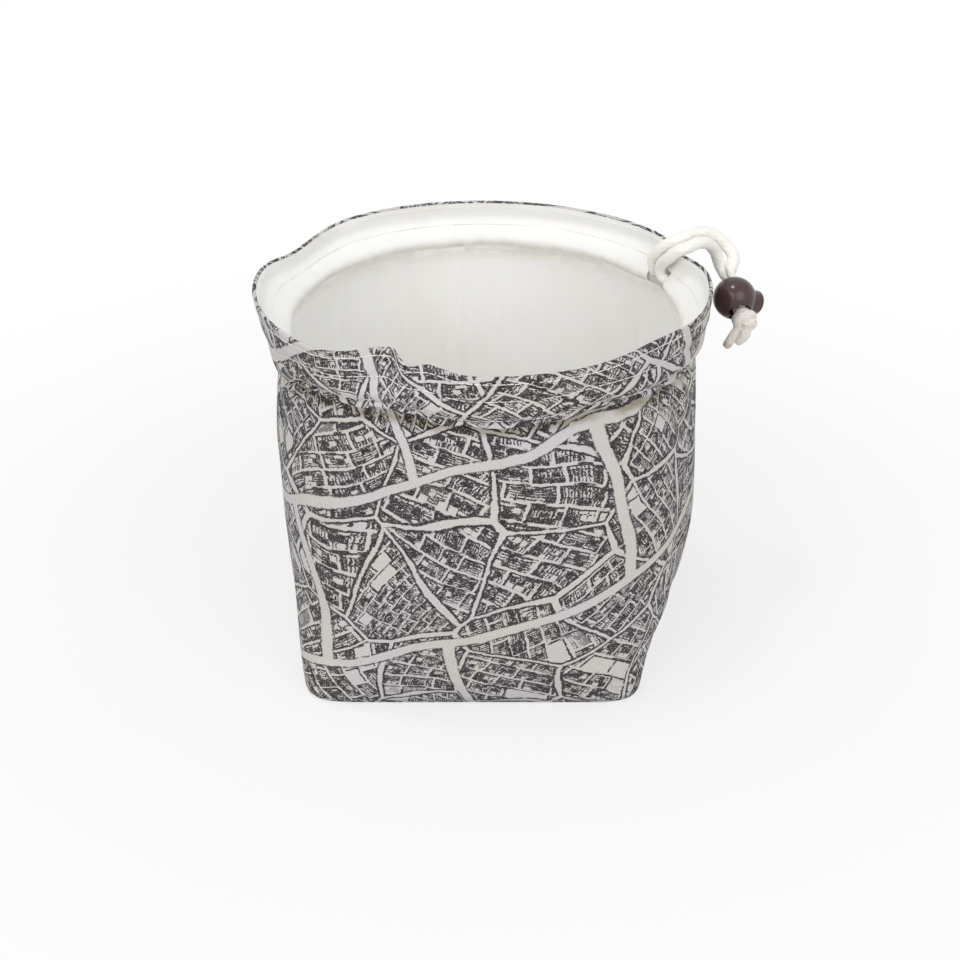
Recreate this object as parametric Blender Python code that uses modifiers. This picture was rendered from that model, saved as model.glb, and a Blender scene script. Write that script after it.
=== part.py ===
"""Kinchaku drawstring pouch: a lined cotton bag that stands open, with a drawstring
channel under its rim and a ball cord lock on the two ends of its drawstring.

Metres, +Z up. The origin is on the table under the middle of the neck. The photo's
viewer stands on the -Y side, and the drawstring comes out on the right, at +X.
"""

import math
from collections import namedtuple

import bmesh
import bpy
import numpy as np
from mathutils import Matrix, Vector

# Cloth
OUTER_CLOTH = 0.0007
LINING_CLOTH = 0.0006
LAYER_GAP = 0.0003
SEAM_GAP = 0.0003

# Rim: a level ellipse, apart from the waves listed below
RIM_HEIGHT = 0.155
RIM_HALF_WIDTH = 0.093
RIM_HALF_DEPTH = 0.0855
RIM_ROLL = 0.0009
RIM_EDGE = 0.0006
RIM_EDGE_IN = 0.0005

# Neck: the stitched line under the drawstring channel
NECK_HEIGHT = 0.136
NECK_TUCK = 0.0014
TUCK_FROM = 0.94
NECK_WAVE_FADE = 6
FACING_OVERLAP = 0.0022
SEAM_TURN = math.radians(20)

# Base: a boxed bottom with a seam across it
EDGE_ROUND = 0.0020

# Drawstring and its channel, as shares of the band between neck and rim
CORD_DIAMETER = 0.0044
CHANNEL_SHARE = 0.5
CORD_SHARE = 0.24
CHANNEL_BULGE_OUT = 0.0033
CHANNEL_BULGE_IN = 0.0034
NOTCH_ANGLE = math.radians(25.5)
NOTCH_LENGTH = 0.0145
CORD_TURN = 0.0046
CORD_END_GAP = 0.0003
CASING_POINTS = 58

# Cord lock: a ball with a spring button across its cord hole. Z of its frame is the
# cord's way to the knot, and X is the side that the button is pressed on.
RIM_RIGHT = Vector((RIM_HALF_WIDTH, 0.0, RIM_HEIGHT))
LOCK_CENTRE = RIM_RIGHT + Vector((0.01225, 0.0220, -0.01695))
CORD_AXIS = Vector((0.190, -0.860, -0.473)).normalized()
BUTTON_SIDE = Vector((0.839, 0.418, -0.348))
BUTTON_AXIS = (BUTTON_SIDE - CORD_AXIS * BUTTON_SIDE.dot(CORD_AXIS)).normalized()
LOCK_FRAME = Matrix((BUTTON_AXIS, CORD_AXIS.cross(BUTTON_AXIS), CORD_AXIS)).transposed().to_4x4()
BALL_RADIUS = 0.009
CORD_HOLE = 0.0074
CORD_HOLE_MOUTH = 0.0100
BUTTON_DIAMETER = 0.0102
BUTTON_FIT = 0.0003
BUTTON_PROUD = 0.0033
BUTTON_DISH = 0.0004
BUTTON_INNER_END = -0.0030
BUTTON_BORE_END = -0.0059
SLOT_LENGTH = 0.0064
SLOT_CENTRE = 0.0020
SPRING_WELL = 0.0066
SPRING_WELL_END = -0.0076
SPRING_POCKET = 0.0008
SPRING_DIAMETER = 0.0054
SPRING_WIRE = 0.0006
SPRING_TURNS = 3
SPRING_GAP = 0.0003

# Strands of the drawstring outside the channel: chosen points, from the middle of the
# rim's right end, and the straight stretch along the lock's cord hole
STRAND_DIAMETER = 0.0052
STRAND_IN_LOCK = 0.0030
STRAND_SPACING = 0.0035
STRAND_SHIFT = 0.0007
STRAND_STEP = 0.0040
STRAND_SWELL = 0.0070
STRAND_LOOSE = 0.0100
STRAIGHT_FROM = 0.0135
STRAND_END = 0.0090
FRONT_STRAND = (
    (-0.0177, 0.0329, -0.0122),
    (-0.0183, 0.0324, -0.0070),
    (-0.0157, 0.0275, -0.0012),
    (-0.0120, 0.0244, 0.0034),
    (-0.0087, 0.0239, 0.0050),
    (-0.0030, 0.0295, 0.0050),
    (0.0020, 0.0352, 0.0018),
    (0.0055, 0.0389, -0.0040),
    (0.0074, 0.0381, -0.0092),
)
BACK_STRAND = (
    (-0.0202, 0.0380, -0.0122),
    (-0.0214, 0.0376, -0.0065),
    (-0.0185, 0.0340, 0.0000),
    (-0.0145, 0.0318, 0.0040),
    (-0.0105, 0.0315, 0.0055),
    (-0.0055, 0.0365, 0.0055),
    (0.0003, 0.0415, 0.0045),
    (0.0060, 0.0440, 0.0015),
    (0.0108, 0.0436, -0.0035),
    (0.0134, 0.0403, -0.0068),
)

# Knot below the lock, and the cord's two ends that hang from it
KNOT_CENTRE = LOCK_CENTRE + CORD_AXIS * 0.0147 + Vector((0.0010, 0.0, 0.0))
KNOT_WIDE = 0.0060
KNOT_DEEP = 0.0054
KNOT_TALL = 0.0055
KNOT_RIDGE = 0.06
KNOT_TWIST = 2.4
TAIL_DIAMETER = 0.0040
FRONT_TAIL = ((-0.0038, -0.0009, -0.0047), (-0.0057, -0.0013, -0.0075), (-0.0073, -0.0016, -0.0105))
BACK_TAIL = ((-0.0008, 0.0046, -0.0041), (-0.0014, 0.0064, -0.0066), (-0.0028, 0.0076, -0.0094))

# Wall sections: height as a share of the neck's height, half widths to the left and the
# right, half depth, and how square the section is (2 is an ellipse)
Section = namedtuple("Section", "share left right depth squareness")
SECTIONS = (
    Section(0.00, 0.0738, 0.0652, 0.0744, 12.0),
    Section(0.10, 0.0774, 0.0698, 0.0785, 5.4),
    Section(0.26, 0.0802, 0.0822, 0.0828, 3.2),
    Section(0.44, 0.0837, 0.0890, 0.0856, 2.7),
    Section(0.66, 0.0854, 0.0890, 0.0865, 2.4),
    Section(0.88, 0.0844, 0.0876, 0.0858, 2.2),
    Section(1.00, 0.0832, 0.0864, 0.0845, 2.0),
)

# Waves of the cloth: place round the bag in degrees, how far they reach before and after
# it, and how far the cloth moves outwards and upwards there
Wave = namedtuple("Wave", "place before after out up")
RIM_WAVES = (
    Wave(-117, 11, 5, -0.0095, 0.0042),
    Wave(-105, 6, 7, -0.0045, 0.0018),
    Wave(155, 15, 11, -0.0035, -0.0028),
    Wave(20, 8, 8, -0.0045, 0.0),
    Wave(-40, 14, 14, -0.0008, 0.0022),
)
NECK_WAVES = (
    Wave(-164, 13, 13, -0.0018, -0.0150),
    Wave(-113, 12, 12, 0.0, 0.0042),
    Wave(-60, 9, 9, 0.0, 0.0024),
    Wave(-12, 14, 14, 0.0, -0.0050),
    Wave(24, 8, 8, -0.0006, 0.0020),
)
# Waves of the wall also have a height (share of the neck's) and a reach up and down
WallWave = namedtuple("WallWave", "place reach share spread out lean")
WALL_WAVES = (
    WallWave(-160, 9, 0.80, 0.13, -0.0016, 30),
    WallWave(-176, 8, 0.72, 0.16, 0.0010, 0),
    WallWave(-95, 16, 0.55, 0.22, 0.0012, 0),
    WallWave(-58, 10, 0.80, 0.16, -0.0010, -10),
    WallWave(-28, 9, 0.50, 0.20, -0.0012, 12),
    WallWave(40, 13, 0.60, 0.22, 0.0012, 0),
    WallWave(95, 12, 0.70, 0.20, -0.0018, 8),
    WallWave(140, 12, 0.50, 0.22, 0.0012, 0),
)

# How the grid of each panel is divided: share of the way round from the right seam
FRONT_SPACING = ((0.0, 15), (0.58, 14), (0.82, 6), (1.0, 0))
BACK_SPACING = ((0.0, 22), (1.0, 0))
WALL_SHARES = (0.0, 0.06, 0.16, 0.32, 0.50, 0.68, 0.83, 0.94, 0.985)
BAND_SHARES = (0.0, 0.10, 0.24, 0.38, 0.50, 0.66, 0.84, 0.95)
BASE_ROWS = 3

# How finely a row is measured before its points are spaced along it, and how far up and
# down the wall its sections are blended
LENGTH_STEPS = 721
SECTION_BLEND = 0.05

# How far the band bulges, as shares of the channel's bulge, at shares of its height
OUTER_BULGE = (
    (0.0, 0.0), (0.10, 0.7), (0.24, 1.0), (0.38, 0.8), (0.5, 0.4), (0.66, 0.5), (0.84, 0.2), (1.0, 0.0),
)
FACING_BULGE = ((0.0, 0.0), (0.10, 0.65), (0.24, 1.0), (0.38, 0.7), (0.5, 0.0), (1.0, 0.0))

# Colours
PRINT = (0.42, 0.40, 0.41)
CREAM = (0.86, 0.84, 0.78)
CORD = (0.88, 0.87, 0.80)
LOCK_BROWN = (0.055, 0.035, 0.032)
STEEL = (0.55, 0.55, 0.56)


def material(name, colour, roughness, metallic=0.0):
    mat = bpy.data.materials.get(name) or bpy.data.materials.new(name)
    mat.use_nodes = True
    shader = mat.node_tree.nodes["Principled BSDF"]
    shader.inputs["Base Color"].default_value = (*colour, 1.0)
    shader.inputs["Roughness"].default_value = roughness
    shader.inputs["Metallic"].default_value = metallic
    return mat


def polar_radius(angle, left, right, depth, squareness):
    """Radius of a superellipse whose half width differs on its two sides."""
    across = np.where(np.cos(angle) > 0, right, left)
    x = np.abs(np.cos(angle)) / across
    y = np.abs(np.sin(angle)) / depth
    return (x**squareness + y**squareness) ** (-1 / squareness)


def wave_at(waves, angle):
    """How far the waves move the cloth outwards and upwards at these angles."""
    out = np.zeros_like(angle)
    up = np.zeros_like(angle)
    for wave in waves:
        away = (np.degrees(angle) - wave.place + 180) % 360 - 180
        reach = np.where(away < 0, wave.before, wave.after)
        bell = np.exp(-((away / reach) ** 2))
        out += wave.out * bell
        up += wave.up * bell
    return out, up


def wall_wave_at(angle, share):
    out = np.zeros_like(angle)
    for wave in WALL_WAVES:
        rise = share - wave.share
        away = (np.degrees(angle) - wave.place - wave.lean * rise + 180) % 360 - 180
        out += wave.out * np.exp(-((away / wave.reach) ** 2) - (rise / wave.spread) ** 2)
    return out


def polar_points(angle, radius, height):
    return np.stack([radius * np.cos(angle), radius * np.sin(angle), height + 0 * angle], axis=1)


def section_at(share):
    """The wall's section at a share of the neck's height, from the listed ones."""
    known = [s.share for s in SECTIONS]
    return [np.interp(share, known, [s[k] for s in SECTIONS]) for k in range(1, 5)]


def smooth_section(share):
    """The same, with the corners of the straight lines between the listed ones rounded."""
    near = [section_at(min(max(share + d, 0.0), 1.0)) for d in (-SECTION_BLEND, 0.0, SECTION_BLEND)]
    return [0.25 * a + 0.5 * b + 0.25 * c for a, b, c in zip(*near)]


def wall_curve(angle, share, inset):
    """Points of the wall at a share of the neck's height."""
    left, right, depth, squareness = smooth_section(share)
    radius = polar_radius(angle, left, right, depth, squareness)
    near_neck = share**NECK_WAVE_FADE
    out, up = wave_at(NECK_WAVES, angle)
    tuck = NECK_TUCK * max(0.0, (share - TUCK_FROM) / (1 - TUCK_FROM))
    radius = radius - inset - tuck + near_neck * out + wall_wave_at(angle, share)
    return polar_points(angle, radius, share * NECK_HEIGHT + near_neck * up)


def rim_curve(angle):
    radius = polar_radius(angle, RIM_HALF_WIDTH, RIM_HALF_WIDTH, RIM_HALF_DEPTH, 2)
    out, up = wave_at(RIM_WAVES, angle)
    return polar_points(angle, radius + out, RIM_HEIGHT + up)


def outward(points):
    flat = points * np.array([1.0, 1.0, 0.0])
    return flat / np.linalg.norm(flat, axis=1)[:, None]


def band_curve(angle, share, offset):
    """Points of the band above the neck, offset outwards from its straight line."""
    low = wall_curve(angle, 1.0, 0.0)
    high = rim_curve(angle)
    points = low + (high - low) * share
    return points + outward(points) * offset


def profile(table, share):
    return float(np.interp(share, [p[0] for p in table], [p[1] for p in table]))


def outer_band_offset(share):
    """The print's outer side, outwards from the straight line between neck and rim."""
    return CHANNEL_BULGE_OUT * profile(OUTER_BULGE, share)


def facing_band_offset(share):
    """The facing's outer side: it backs the print, apart from the channel, where it bulges in."""
    header = outer_band_offset(max(share, CHANNEL_SHARE)) - OUTER_CLOTH - LAYER_GAP
    away = max(0.0, 1 - share / CHANNEL_SHARE)
    straight = header + (-facing_inset() - header) * away
    return straight - CHANNEL_BULGE_IN * profile(FACING_BULGE, share)


def lining_inset():
    return OUTER_CLOTH + LAYER_GAP


def facing_inset():
    return lining_inset() + LINING_CLOTH + LAYER_GAP


def spaced(spacing):
    """Shares from 0 to 1, with each stretch divided into its own number of columns."""
    shares = [0.0]
    for (start, count), (end, _) in zip(spacing, spacing[1:]):
        shares += [start + (end - start) * (k + 1) / count for k in range(count)]
    return np.array(shares)


def along(curve, start, end, shares, trim=0.0):
    """Points at these shares of the length of curve(angles) from start to end."""
    fine = curve(np.linspace(start, end, LENGTH_STEPS))
    steps = np.linalg.norm(np.diff(fine, axis=0), axis=1)
    length = np.concatenate([[0.0], np.cumsum(steps)])
    wanted = trim + shares * (length[-1] - 2 * trim)
    return np.stack([np.interp(wanted, length, fine[:, k]) for k in range(3)], axis=1)


def seam_angle(share):
    """The right side seam turns backwards as it rises from the base to the neck."""
    return SEAM_TURN * share * share * (3 - 2 * share)


def panel_row(side, curve, share, shares):
    """One row of the front (side -1) or back (side 1) panel, from right seam to left seam."""
    return along(curve, seam_angle(min(share, 1.0)), side * math.pi, shares, SEAM_GAP / 2)


def wall_rows(side, shares, levels, inset, foot):
    """Rows from the neck down to the base's edge, then in to the seam across the base."""
    rows = []
    for level in reversed(levels):
        rows.append(panel_row(side, lambda a: wall_curve(a, level, inset), level, shares))
    # The lowest level is the top of the rounded edge
    rows[-1][:, 2] = foot + EDGE_ROUND
    for inward, height in ((0.25, 0.3), (1.0, 0.0)):
        row = panel_row(side, lambda a: wall_curve(a, 0.0, inset + inward * EDGE_ROUND), 0.0, shares)
        row[:, 2] = foot + height * EDGE_ROUND
        rows.append(row)
    edge = rows[-1]
    seam = np.zeros_like(edge)
    seam[:, 0] = edge[0, 0] + (edge[-1, 0] - edge[0, 0]) * shares
    seam[:, 1] = side * SEAM_GAP / 2
    seam[:, 2] = foot
    for row in range(1, BASE_ROWS + 1):
        rows.append(edge + (seam - edge) * row / BASE_ROWS)
    return rows


def grid_object(name, rows, mat, closed=False, skip=None, flip=False):
    """A sheet through rows of points, without the faces for which skip(row, column) is true."""
    mesh = bmesh.new()
    verts = [[mesh.verts.new(p) for p in row] for row in rows]
    columns = len(rows[0])
    for r in range(len(rows) - 1):
        for c in range(columns if closed else columns - 1):
            if skip and skip(r, c):
                continue
            d = (c + 1) % columns
            corners = [verts[r][c], verts[r + 1][c], verts[r + 1][d], verts[r][d]]
            mesh.faces.new(corners[::-1] if flip else corners)
    bmesh.ops.remove_doubles(mesh, verts=mesh.verts, dist=0.00002)
    loose = [v for v in mesh.verts if not v.link_faces]
    bmesh.ops.delete(mesh, geom=loose, context="VERTS")
    data = bpy.data.meshes.new(name)
    mesh.to_mesh(data)
    mesh.free()
    data.shade_smooth()
    obj = bpy.data.objects.new(name, data)
    obj.data.materials.append(mat)
    pouch.objects.link(obj)
    return obj


def thicken(obj, thickness):
    """Cloth whose given sheet is its outer side."""
    shell = obj.modifiers.new("cloth", "SOLIDIFY")
    shell.thickness = thickness
    shell.offset = -1
    shell.use_even_offset = True
    shell.use_rim = True
    return obj


def notch_shares():
    """Where the casing's opening starts and ends on the back panel, as shares of its length."""
    fine = panel_row(1, lambda a: wall_curve(a, 1.0, 0.0), 1.0, np.linspace(0, 1, LENGTH_STEPS))
    steps = np.linalg.norm(np.diff(fine, axis=0), axis=1)
    length = np.concatenate([[0.0], np.cumsum(steps)])
    middle = np.interp(NOTCH_ANGLE, np.unwrap(np.arctan2(fine[:, 1], fine[:, 0])), length)
    start = (middle - NOTCH_LENGTH / 2) / length[-1]
    end = (middle + NOTCH_LENGTH / 2) / length[-1]
    return start, end


def panel_shares(side):
    """The columns that every layer of a panel shares."""
    if side < 0:
        return spaced(FRONT_SPACING)
    start, end = notch_shares()
    shares = spaced(BACK_SPACING)
    clear = 0.6 * (shares[1] - shares[0])
    kept = [s for s in shares if s in (0.0, 1.0) or abs(s - start) > clear and abs(s - end) > clear]
    return np.array(sorted([*kept, start, end]))


def outer_panel(name, side, mat):
    shares = panel_shares(side)
    band = []
    for share in reversed(BAND_SHARES):
        offset = outer_band_offset(share)
        band.append(panel_row(side, lambda a: band_curve(a, share, offset), 1.0, shares))
    # The print rolls over the facing's edge at the rim
    over = []
    reach = OUTER_CLOTH + LAYER_GAP + LINING_CLOTH
    for inward, below in ((reach, 0.0), (RIM_EDGE_IN, 0.0), (0.0, RIM_EDGE)):
        row = panel_row(side, lambda a: band_curve(a, 1.0, -inward), 1.0, shares)
        over.append(row + np.array([0.0, 0.0, RIM_ROLL - below]))
    rows = over + band + wall_rows(side, shares, WALL_SHARES, 0.0, 0.0)
    obj = grid_object(name, rows, mat, flip=side < 0)
    return thicken(obj, OUTER_CLOTH)


def lining_panel(name, side, mat):
    shares = panel_shares(side)
    inset = lining_inset()
    rows = wall_rows(side, shares, WALL_SHARES, inset, inset)
    obj = grid_object(name, rows, mat, flip=side < 0)
    return thicken(obj, LINING_CLOTH)


def facing_band(mat):
    """The facing: a closed band inside the rim, with an opening for the drawstring."""
    front, back = panel_shares(-1), panel_shares(1)

    def ring(curve, level):
        ahead = along(curve, seam_angle(level), -math.pi, front)
        behind = along(curve, seam_angle(level), math.pi, back)
        return np.concatenate([behind[:-1], ahead[:0:-1]])

    rows = []
    for share in reversed(BAND_SHARES):
        offset = facing_band_offset(share)
        rows.append(ring(lambda a: band_curve(a, share, offset), 1.0))
    under = 1 - FACING_OVERLAP / NECK_HEIGHT
    rows.append(ring(lambda a: wall_curve(a, under, facing_inset()), 1.0))
    start = int(np.argmin(abs(back - notch_shares()[0])))
    end = int(np.argmin(abs(back - notch_shares()[1])))
    top = len(BAND_SHARES) - 1 - BAND_SHARES.index(CHANNEL_SHARE)
    bottom = len(BAND_SHARES) - 2

    def in_notch(row, column):
        return top <= row < bottom and start <= column < end

    obj = grid_object("facing_band", rows, mat, closed=True, skip=in_notch)
    return thicken(obj, LINING_CLOTH)


def tube(name, points, diameter, mat, radii=None, resolution=2):
    """A round cord or wire through the points, with closed ends."""
    curve = bpy.data.curves.new(name, "CURVE")
    curve.dimensions = "3D"
    spline = curve.splines.new("POLY")
    spline.points.add(len(points) - 1)
    for k, p in enumerate(points):
        spline.points[k].co = (*p, 1.0)
        spline.points[k].radius = radii[k] if radii else 1.0
    curve.bevel_depth = diameter / 2
    curve.bevel_resolution = resolution
    curve.use_fill_caps = True
    obj = bpy.data.objects.new(name, curve)
    obj.data.materials.append(mat)
    pouch.objects.link(obj)
    return obj


def smooth_route(points, spacing):
    """Points evenly spaced on a smooth curve through the given ones."""
    knots = np.array(points, float)
    ends = np.concatenate([[2 * knots[0] - knots[1]], knots, [2 * knots[-1] - knots[-2]]])
    fine = []
    for a, b, c, d in zip(ends, ends[1:], ends[2:], ends[3:]):
        for t in np.linspace(0, 1, 24, endpoint=False):
            square, cube = 2 * a - 5 * b + 4 * c - d, 3 * b - a - 3 * c + d
            fine.append(0.5 * (2 * b + (c - a) * t + square * t**2 + cube * t**3))
    fine.append(knots[-1])
    fine = np.array(fine)
    length = np.concatenate([[0.0], np.cumsum(np.linalg.norm(np.diff(fine, axis=0), axis=1))])
    wanted = np.linspace(0, length[-1], max(3, round(length[-1] / spacing) + 1))
    return np.stack([np.interp(wanted, length, fine[:, k]) for k in range(3)], axis=1), wanted


def channel_middle(angle):
    """Where the drawstring runs in its channel."""
    print_side = outer_band_offset(CORD_SHARE) - OUTER_CLOTH
    return band_curve(angle, CORD_SHARE, (print_side + facing_band_offset(CORD_SHARE)) / 2)


def opening_side(side, away):
    """The angle of a place in the channel, this far beyond the opening's end."""
    return NOTCH_ANGLE + side * (NOTCH_LENGTH / 2 + away) / SECTIONS[-1].right


def drawstring_in_casing(mat):
    """The drawstring's stretch in the channel, all the way round to the opening again."""
    start = opening_side(1, CORD_TURN)
    end = opening_side(-1, CORD_TURN) + 2 * math.pi
    points = along(channel_middle, start, end, np.linspace(0, 1, CASING_POINTS))
    return tube("drawstring_in_casing", points, CORD_DIAMETER, mat)


def strand(name, side, route, mat):
    """A free strand: out of the opening, over the rim, through the lock's hole and to the knot."""
    inside = [opening_side(side, away) for away in (CORD_TURN - CORD_END_GAP, CORD_TURN / 2, 0.0)]
    start = channel_middle(np.array(inside))
    shift = LOCK_FRAME.to_3x3() @ Vector((STRAND_SHIFT, side * STRAND_SPACING / 2, 0))
    straight = [LOCK_CENTRE + shift + CORD_AXIS * d for d in (-STRAIGHT_FROM, -BALL_RADIUS, 0.0, STRAND_END)]
    points = [*start, *(RIM_RIGHT + Vector(p) for p in route), *straight]
    line, at = smooth_route(points, STRAND_STEP)
    thin = STRAND_IN_LOCK / STRAND_DIAMETER
    widening = np.clip((at[-1] - at - STRAIGHT_FROM - STRAND_END) / STRAND_SWELL, 0.0, 1.0)
    slack = CORD_DIAMETER / STRAND_DIAMETER
    loosening = np.clip(at / STRAND_LOOSE - 1.0, 0.0, 1.0)
    radii = np.minimum(thin + (1 - thin) * widening, slack + (1 - slack) * loosening)
    return tube(name, line, STRAND_DIAMETER, mat, [float(r) for r in radii])


def lathe(name, profile_points, mat, segments=32):
    """A turned piece from a profile of (radius, height) that runs down its outer side."""
    mesh = bmesh.new()
    verts = [mesh.verts.new((r, 0.0, z)) for r, z in profile_points]
    for a, b in zip(verts, verts[1:]):
        mesh.edges.new((a, b))
    data = bpy.data.meshes.new(name)
    mesh.to_mesh(data)
    mesh.free()
    obj = bpy.data.objects.new(name, data)
    screw = obj.modifiers.new("turned", "SCREW")
    screw.axis = "Z"
    screw.steps = segments
    screw.render_steps = segments
    screw.use_merge_vertices = True
    screw.merge_threshold = 0.00001
    screw.use_smooth_shade = True
    if mat:
        obj.data.materials.append(mat)
    return obj


def cutter(name, profile_points, along_x=False):
    obj = lathe(name, profile_points, None)
    cutters.objects.link(obj)
    obj.parent = lock_empty
    if along_x:
        obj.rotation_euler = (0.0, math.pi / 2, 0.0)
    obj.hide_render = True
    obj.display_type = "WIRE"
    return obj


def cut(obj, tool):
    boolean = obj.modifiers.new(tool.name, "BOOLEAN")
    boolean.operation = "DIFFERENCE"
    boolean.solver = "EXACT"
    boolean.object = tool


def lock_ball(mat):
    """The ball, with its cord hole along Z and the button's blind bore along X."""
    bpy.ops.mesh.primitive_uv_sphere_add(segments=32, ring_count=18, radius=BALL_RADIUS)
    ball = bpy.context.object
    ball.name = ball.data.name = "cord_lock_ball"
    for collection in list(ball.users_collection):
        collection.objects.unlink(ball)
    pouch.objects.link(ball)
    ball.data.materials.append(mat)
    ball.data.shade_smooth()
    ball.parent = lock_empty
    ball.rotation_euler = (0.0, 0.0, math.radians(5))
    hole, mouth = CORD_HOLE / 2, CORD_HOLE_MOUTH / 2
    edge = math.sqrt(BALL_RADIUS**2 - mouth**2)
    chamfer = mouth - hole
    far = 1.3 * BALL_RADIUS
    wide = mouth + far - edge
    side = [(wide, far), (hole, edge - chamfer), (hole, chamfer - edge), (wide, -far)]
    cut(ball, cutter("cord_hole", [(0, far), *side, (0, -far)]))
    bore, well = BUTTON_DIAMETER / 2 + BUTTON_FIT, SPRING_WELL / 2
    button_bore = [(0, far), (bore, far), (bore, BUTTON_BORE_END), (well, BUTTON_BORE_END)]
    button_bore += [(well, SPRING_WELL_END), (0, SPRING_WELL_END)]
    cut(ball, cutter("button_bore", button_bore, along_x=True))
    return ball


def lock_button(mat):
    """The button: a plug with a slot for the cords, a dished end and a pocket for the spring."""
    radius, end = BUTTON_DIAMETER / 2, BALL_RADIUS + BUTTON_PROUD
    round_edge = 0.12 * BUTTON_DIAMETER
    outline = [(0, end - BUTTON_DISH), (0.62 * radius, end - 0.6 * BUTTON_DISH), (radius - round_edge, end)]
    outline += [(radius - 0.3 * round_edge, end - 0.3 * round_edge), (radius, end - round_edge)]
    outline += [(radius, BUTTON_INNER_END), (SPRING_WELL / 2, BUTTON_INNER_END)]
    outline += [(SPRING_WELL / 2, BUTTON_INNER_END + SPRING_POCKET), (0, BUTTON_INNER_END + SPRING_POCKET)]
    button = lathe("cord_lock_button", outline, mat)
    pouch.objects.link(button)
    button.parent = lock_empty
    button.rotation_euler = (0.0, math.pi / 2, 0.0)
    bpy.ops.mesh.primitive_cube_add(size=1.0)
    slot = bpy.context.object
    slot.name = "button_slot"
    for collection in list(slot.users_collection):
        collection.objects.unlink(slot)
    cutters.objects.link(slot)
    slot.parent = lock_empty
    slot.location = (SLOT_CENTRE, 0.0, 0.0)
    slot.scale = (SLOT_LENGTH, CORD_HOLE, 1.5 * BUTTON_DIAMETER)
    slot.hide_render = True
    slot.display_type = "WIRE"
    cut(button, slot)
    return button


def lock_spring(mat):
    """The spring between the ball's well and the button's pocket."""
    start = SPRING_WELL_END + SPRING_GAP + SPRING_WIRE / 2
    end = BUTTON_INNER_END + SPRING_POCKET - SPRING_GAP - SPRING_WIRE / 2
    radius = (SPRING_DIAMETER - SPRING_WIRE) / 2
    points = []
    for k in range(12 * SPRING_TURNS + 1):
        turn = 2 * math.pi * k / 12
        x = start + (end - start) * k / (12 * SPRING_TURNS)
        points.append((x, radius * math.cos(turn), radius * math.sin(turn)))
    spring = tube("cord_lock_spring", points, SPRING_WIRE, mat)
    spring.parent = lock_empty
    return spring


def knot(mat):
    """The drawstring's two ends tied in one knot: a lump with the cord's turns as ridges."""
    bpy.ops.mesh.primitive_uv_sphere_add(segments=24, ring_count=14, radius=1.0)
    lump = bpy.context.object
    lump.name = lump.data.name = "cord_knot"
    for collection in list(lump.users_collection):
        collection.objects.unlink(lump)
    pouch.objects.link(lump)
    lump.data.materials.append(mat)
    lump.data.shade_smooth()
    for v in lump.data.vertices:
        turn = math.atan2(v.co.y, v.co.x)
        ridge = 1 + KNOT_RIDGE * math.cos(2 * turn + KNOT_TWIST * v.co.z) * (1 - v.co.z**2)
        v.co = Vector((v.co.x * KNOT_WIDE * ridge, v.co.y * KNOT_DEEP * ridge, v.co.z * KNOT_TALL))
    lump.matrix_world = Matrix.Translation(KNOT_CENTRE) @ LOCK_FRAME
    return lump


def cord_end(name, route, mat):
    """One cut end of the drawstring, hanging from the knot."""
    line, _ = smooth_route([KNOT_CENTRE + Vector(p) for p in route], TAIL_DIAMETER / 2)
    return tube(name, line, TAIL_DIAMETER, mat)


def main():
    bpy.context.scene.collection.children.link(pouch)
    bpy.context.scene.collection.children.link(cutters)
    bpy.context.scene.collection.objects.link(lock_empty)
    printed = material("printed cotton", PRINT, 0.85)
    cream = material("cream lining", CREAM, 0.9)
    cotton = material("cotton cord", CORD, 0.9)
    brown = material("brown plastic", LOCK_BROWN, 0.3)
    steel = material("spring steel", STEEL, 0.3, 1.0)
    outer_panel("outer_front_panel", -1, printed)
    outer_panel("outer_back_panel", 1, printed)
    lining_panel("lining_front_panel", -1, cream)
    lining_panel("lining_back_panel", 1, cream)
    facing_band(cream)
    drawstring_in_casing(cotton)
    strand("drawstring_front_strand", -1, FRONT_STRAND, cotton)
    strand("drawstring_back_strand", 1, BACK_STRAND, cotton)
    knot(cotton)
    cord_end("drawstring_end_front", FRONT_TAIL, cotton)
    cord_end("drawstring_end_back", BACK_TAIL, cotton)
    lock_ball(brown)
    lock_button(brown)
    lock_spring(steel)


for leftover in list(bpy.data.objects):
    bpy.data.objects.remove(leftover)
pouch = bpy.data.collections.new("kinchaku_pouch")
cutters = bpy.data.collections.new("cutters")
lock_empty = bpy.data.objects.new("cord_lock_frame", None)
lock_empty.matrix_world = Matrix.Translation(LOCK_CENTRE) @ LOCK_FRAME

main()
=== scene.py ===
"""Kinchaku drawstring pouch: the look of a lined cotton pouch that stands open, with its
printed cloth, lining, channel, stitches, drawstring and cord lock.

Metres, +Z up, in the shared frame. The photo's viewer stands on the -Y side.
"""

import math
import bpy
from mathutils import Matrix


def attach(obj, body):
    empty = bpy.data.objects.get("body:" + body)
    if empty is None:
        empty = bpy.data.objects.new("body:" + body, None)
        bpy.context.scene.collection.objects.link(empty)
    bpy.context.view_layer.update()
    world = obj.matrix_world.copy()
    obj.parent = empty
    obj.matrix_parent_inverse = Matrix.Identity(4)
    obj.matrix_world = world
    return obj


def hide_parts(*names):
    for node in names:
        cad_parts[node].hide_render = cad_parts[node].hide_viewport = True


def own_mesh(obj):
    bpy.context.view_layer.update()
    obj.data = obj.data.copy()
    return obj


bl_info = {
    "name": "Kinchaku drawstring pouch",
    "version": (1, 0, 0),
    "blender": (4, 5, 0),
    "location": "3D View > Sidebar > Pouch",
    "description": "Makes a lined drawstring pouch with a printed shell and a ball cord lock",
    "category": "Object",
}

from collections import namedtuple

import bmesh
import bpy
import numpy as np
from mathutils import Matrix, Vector

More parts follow.
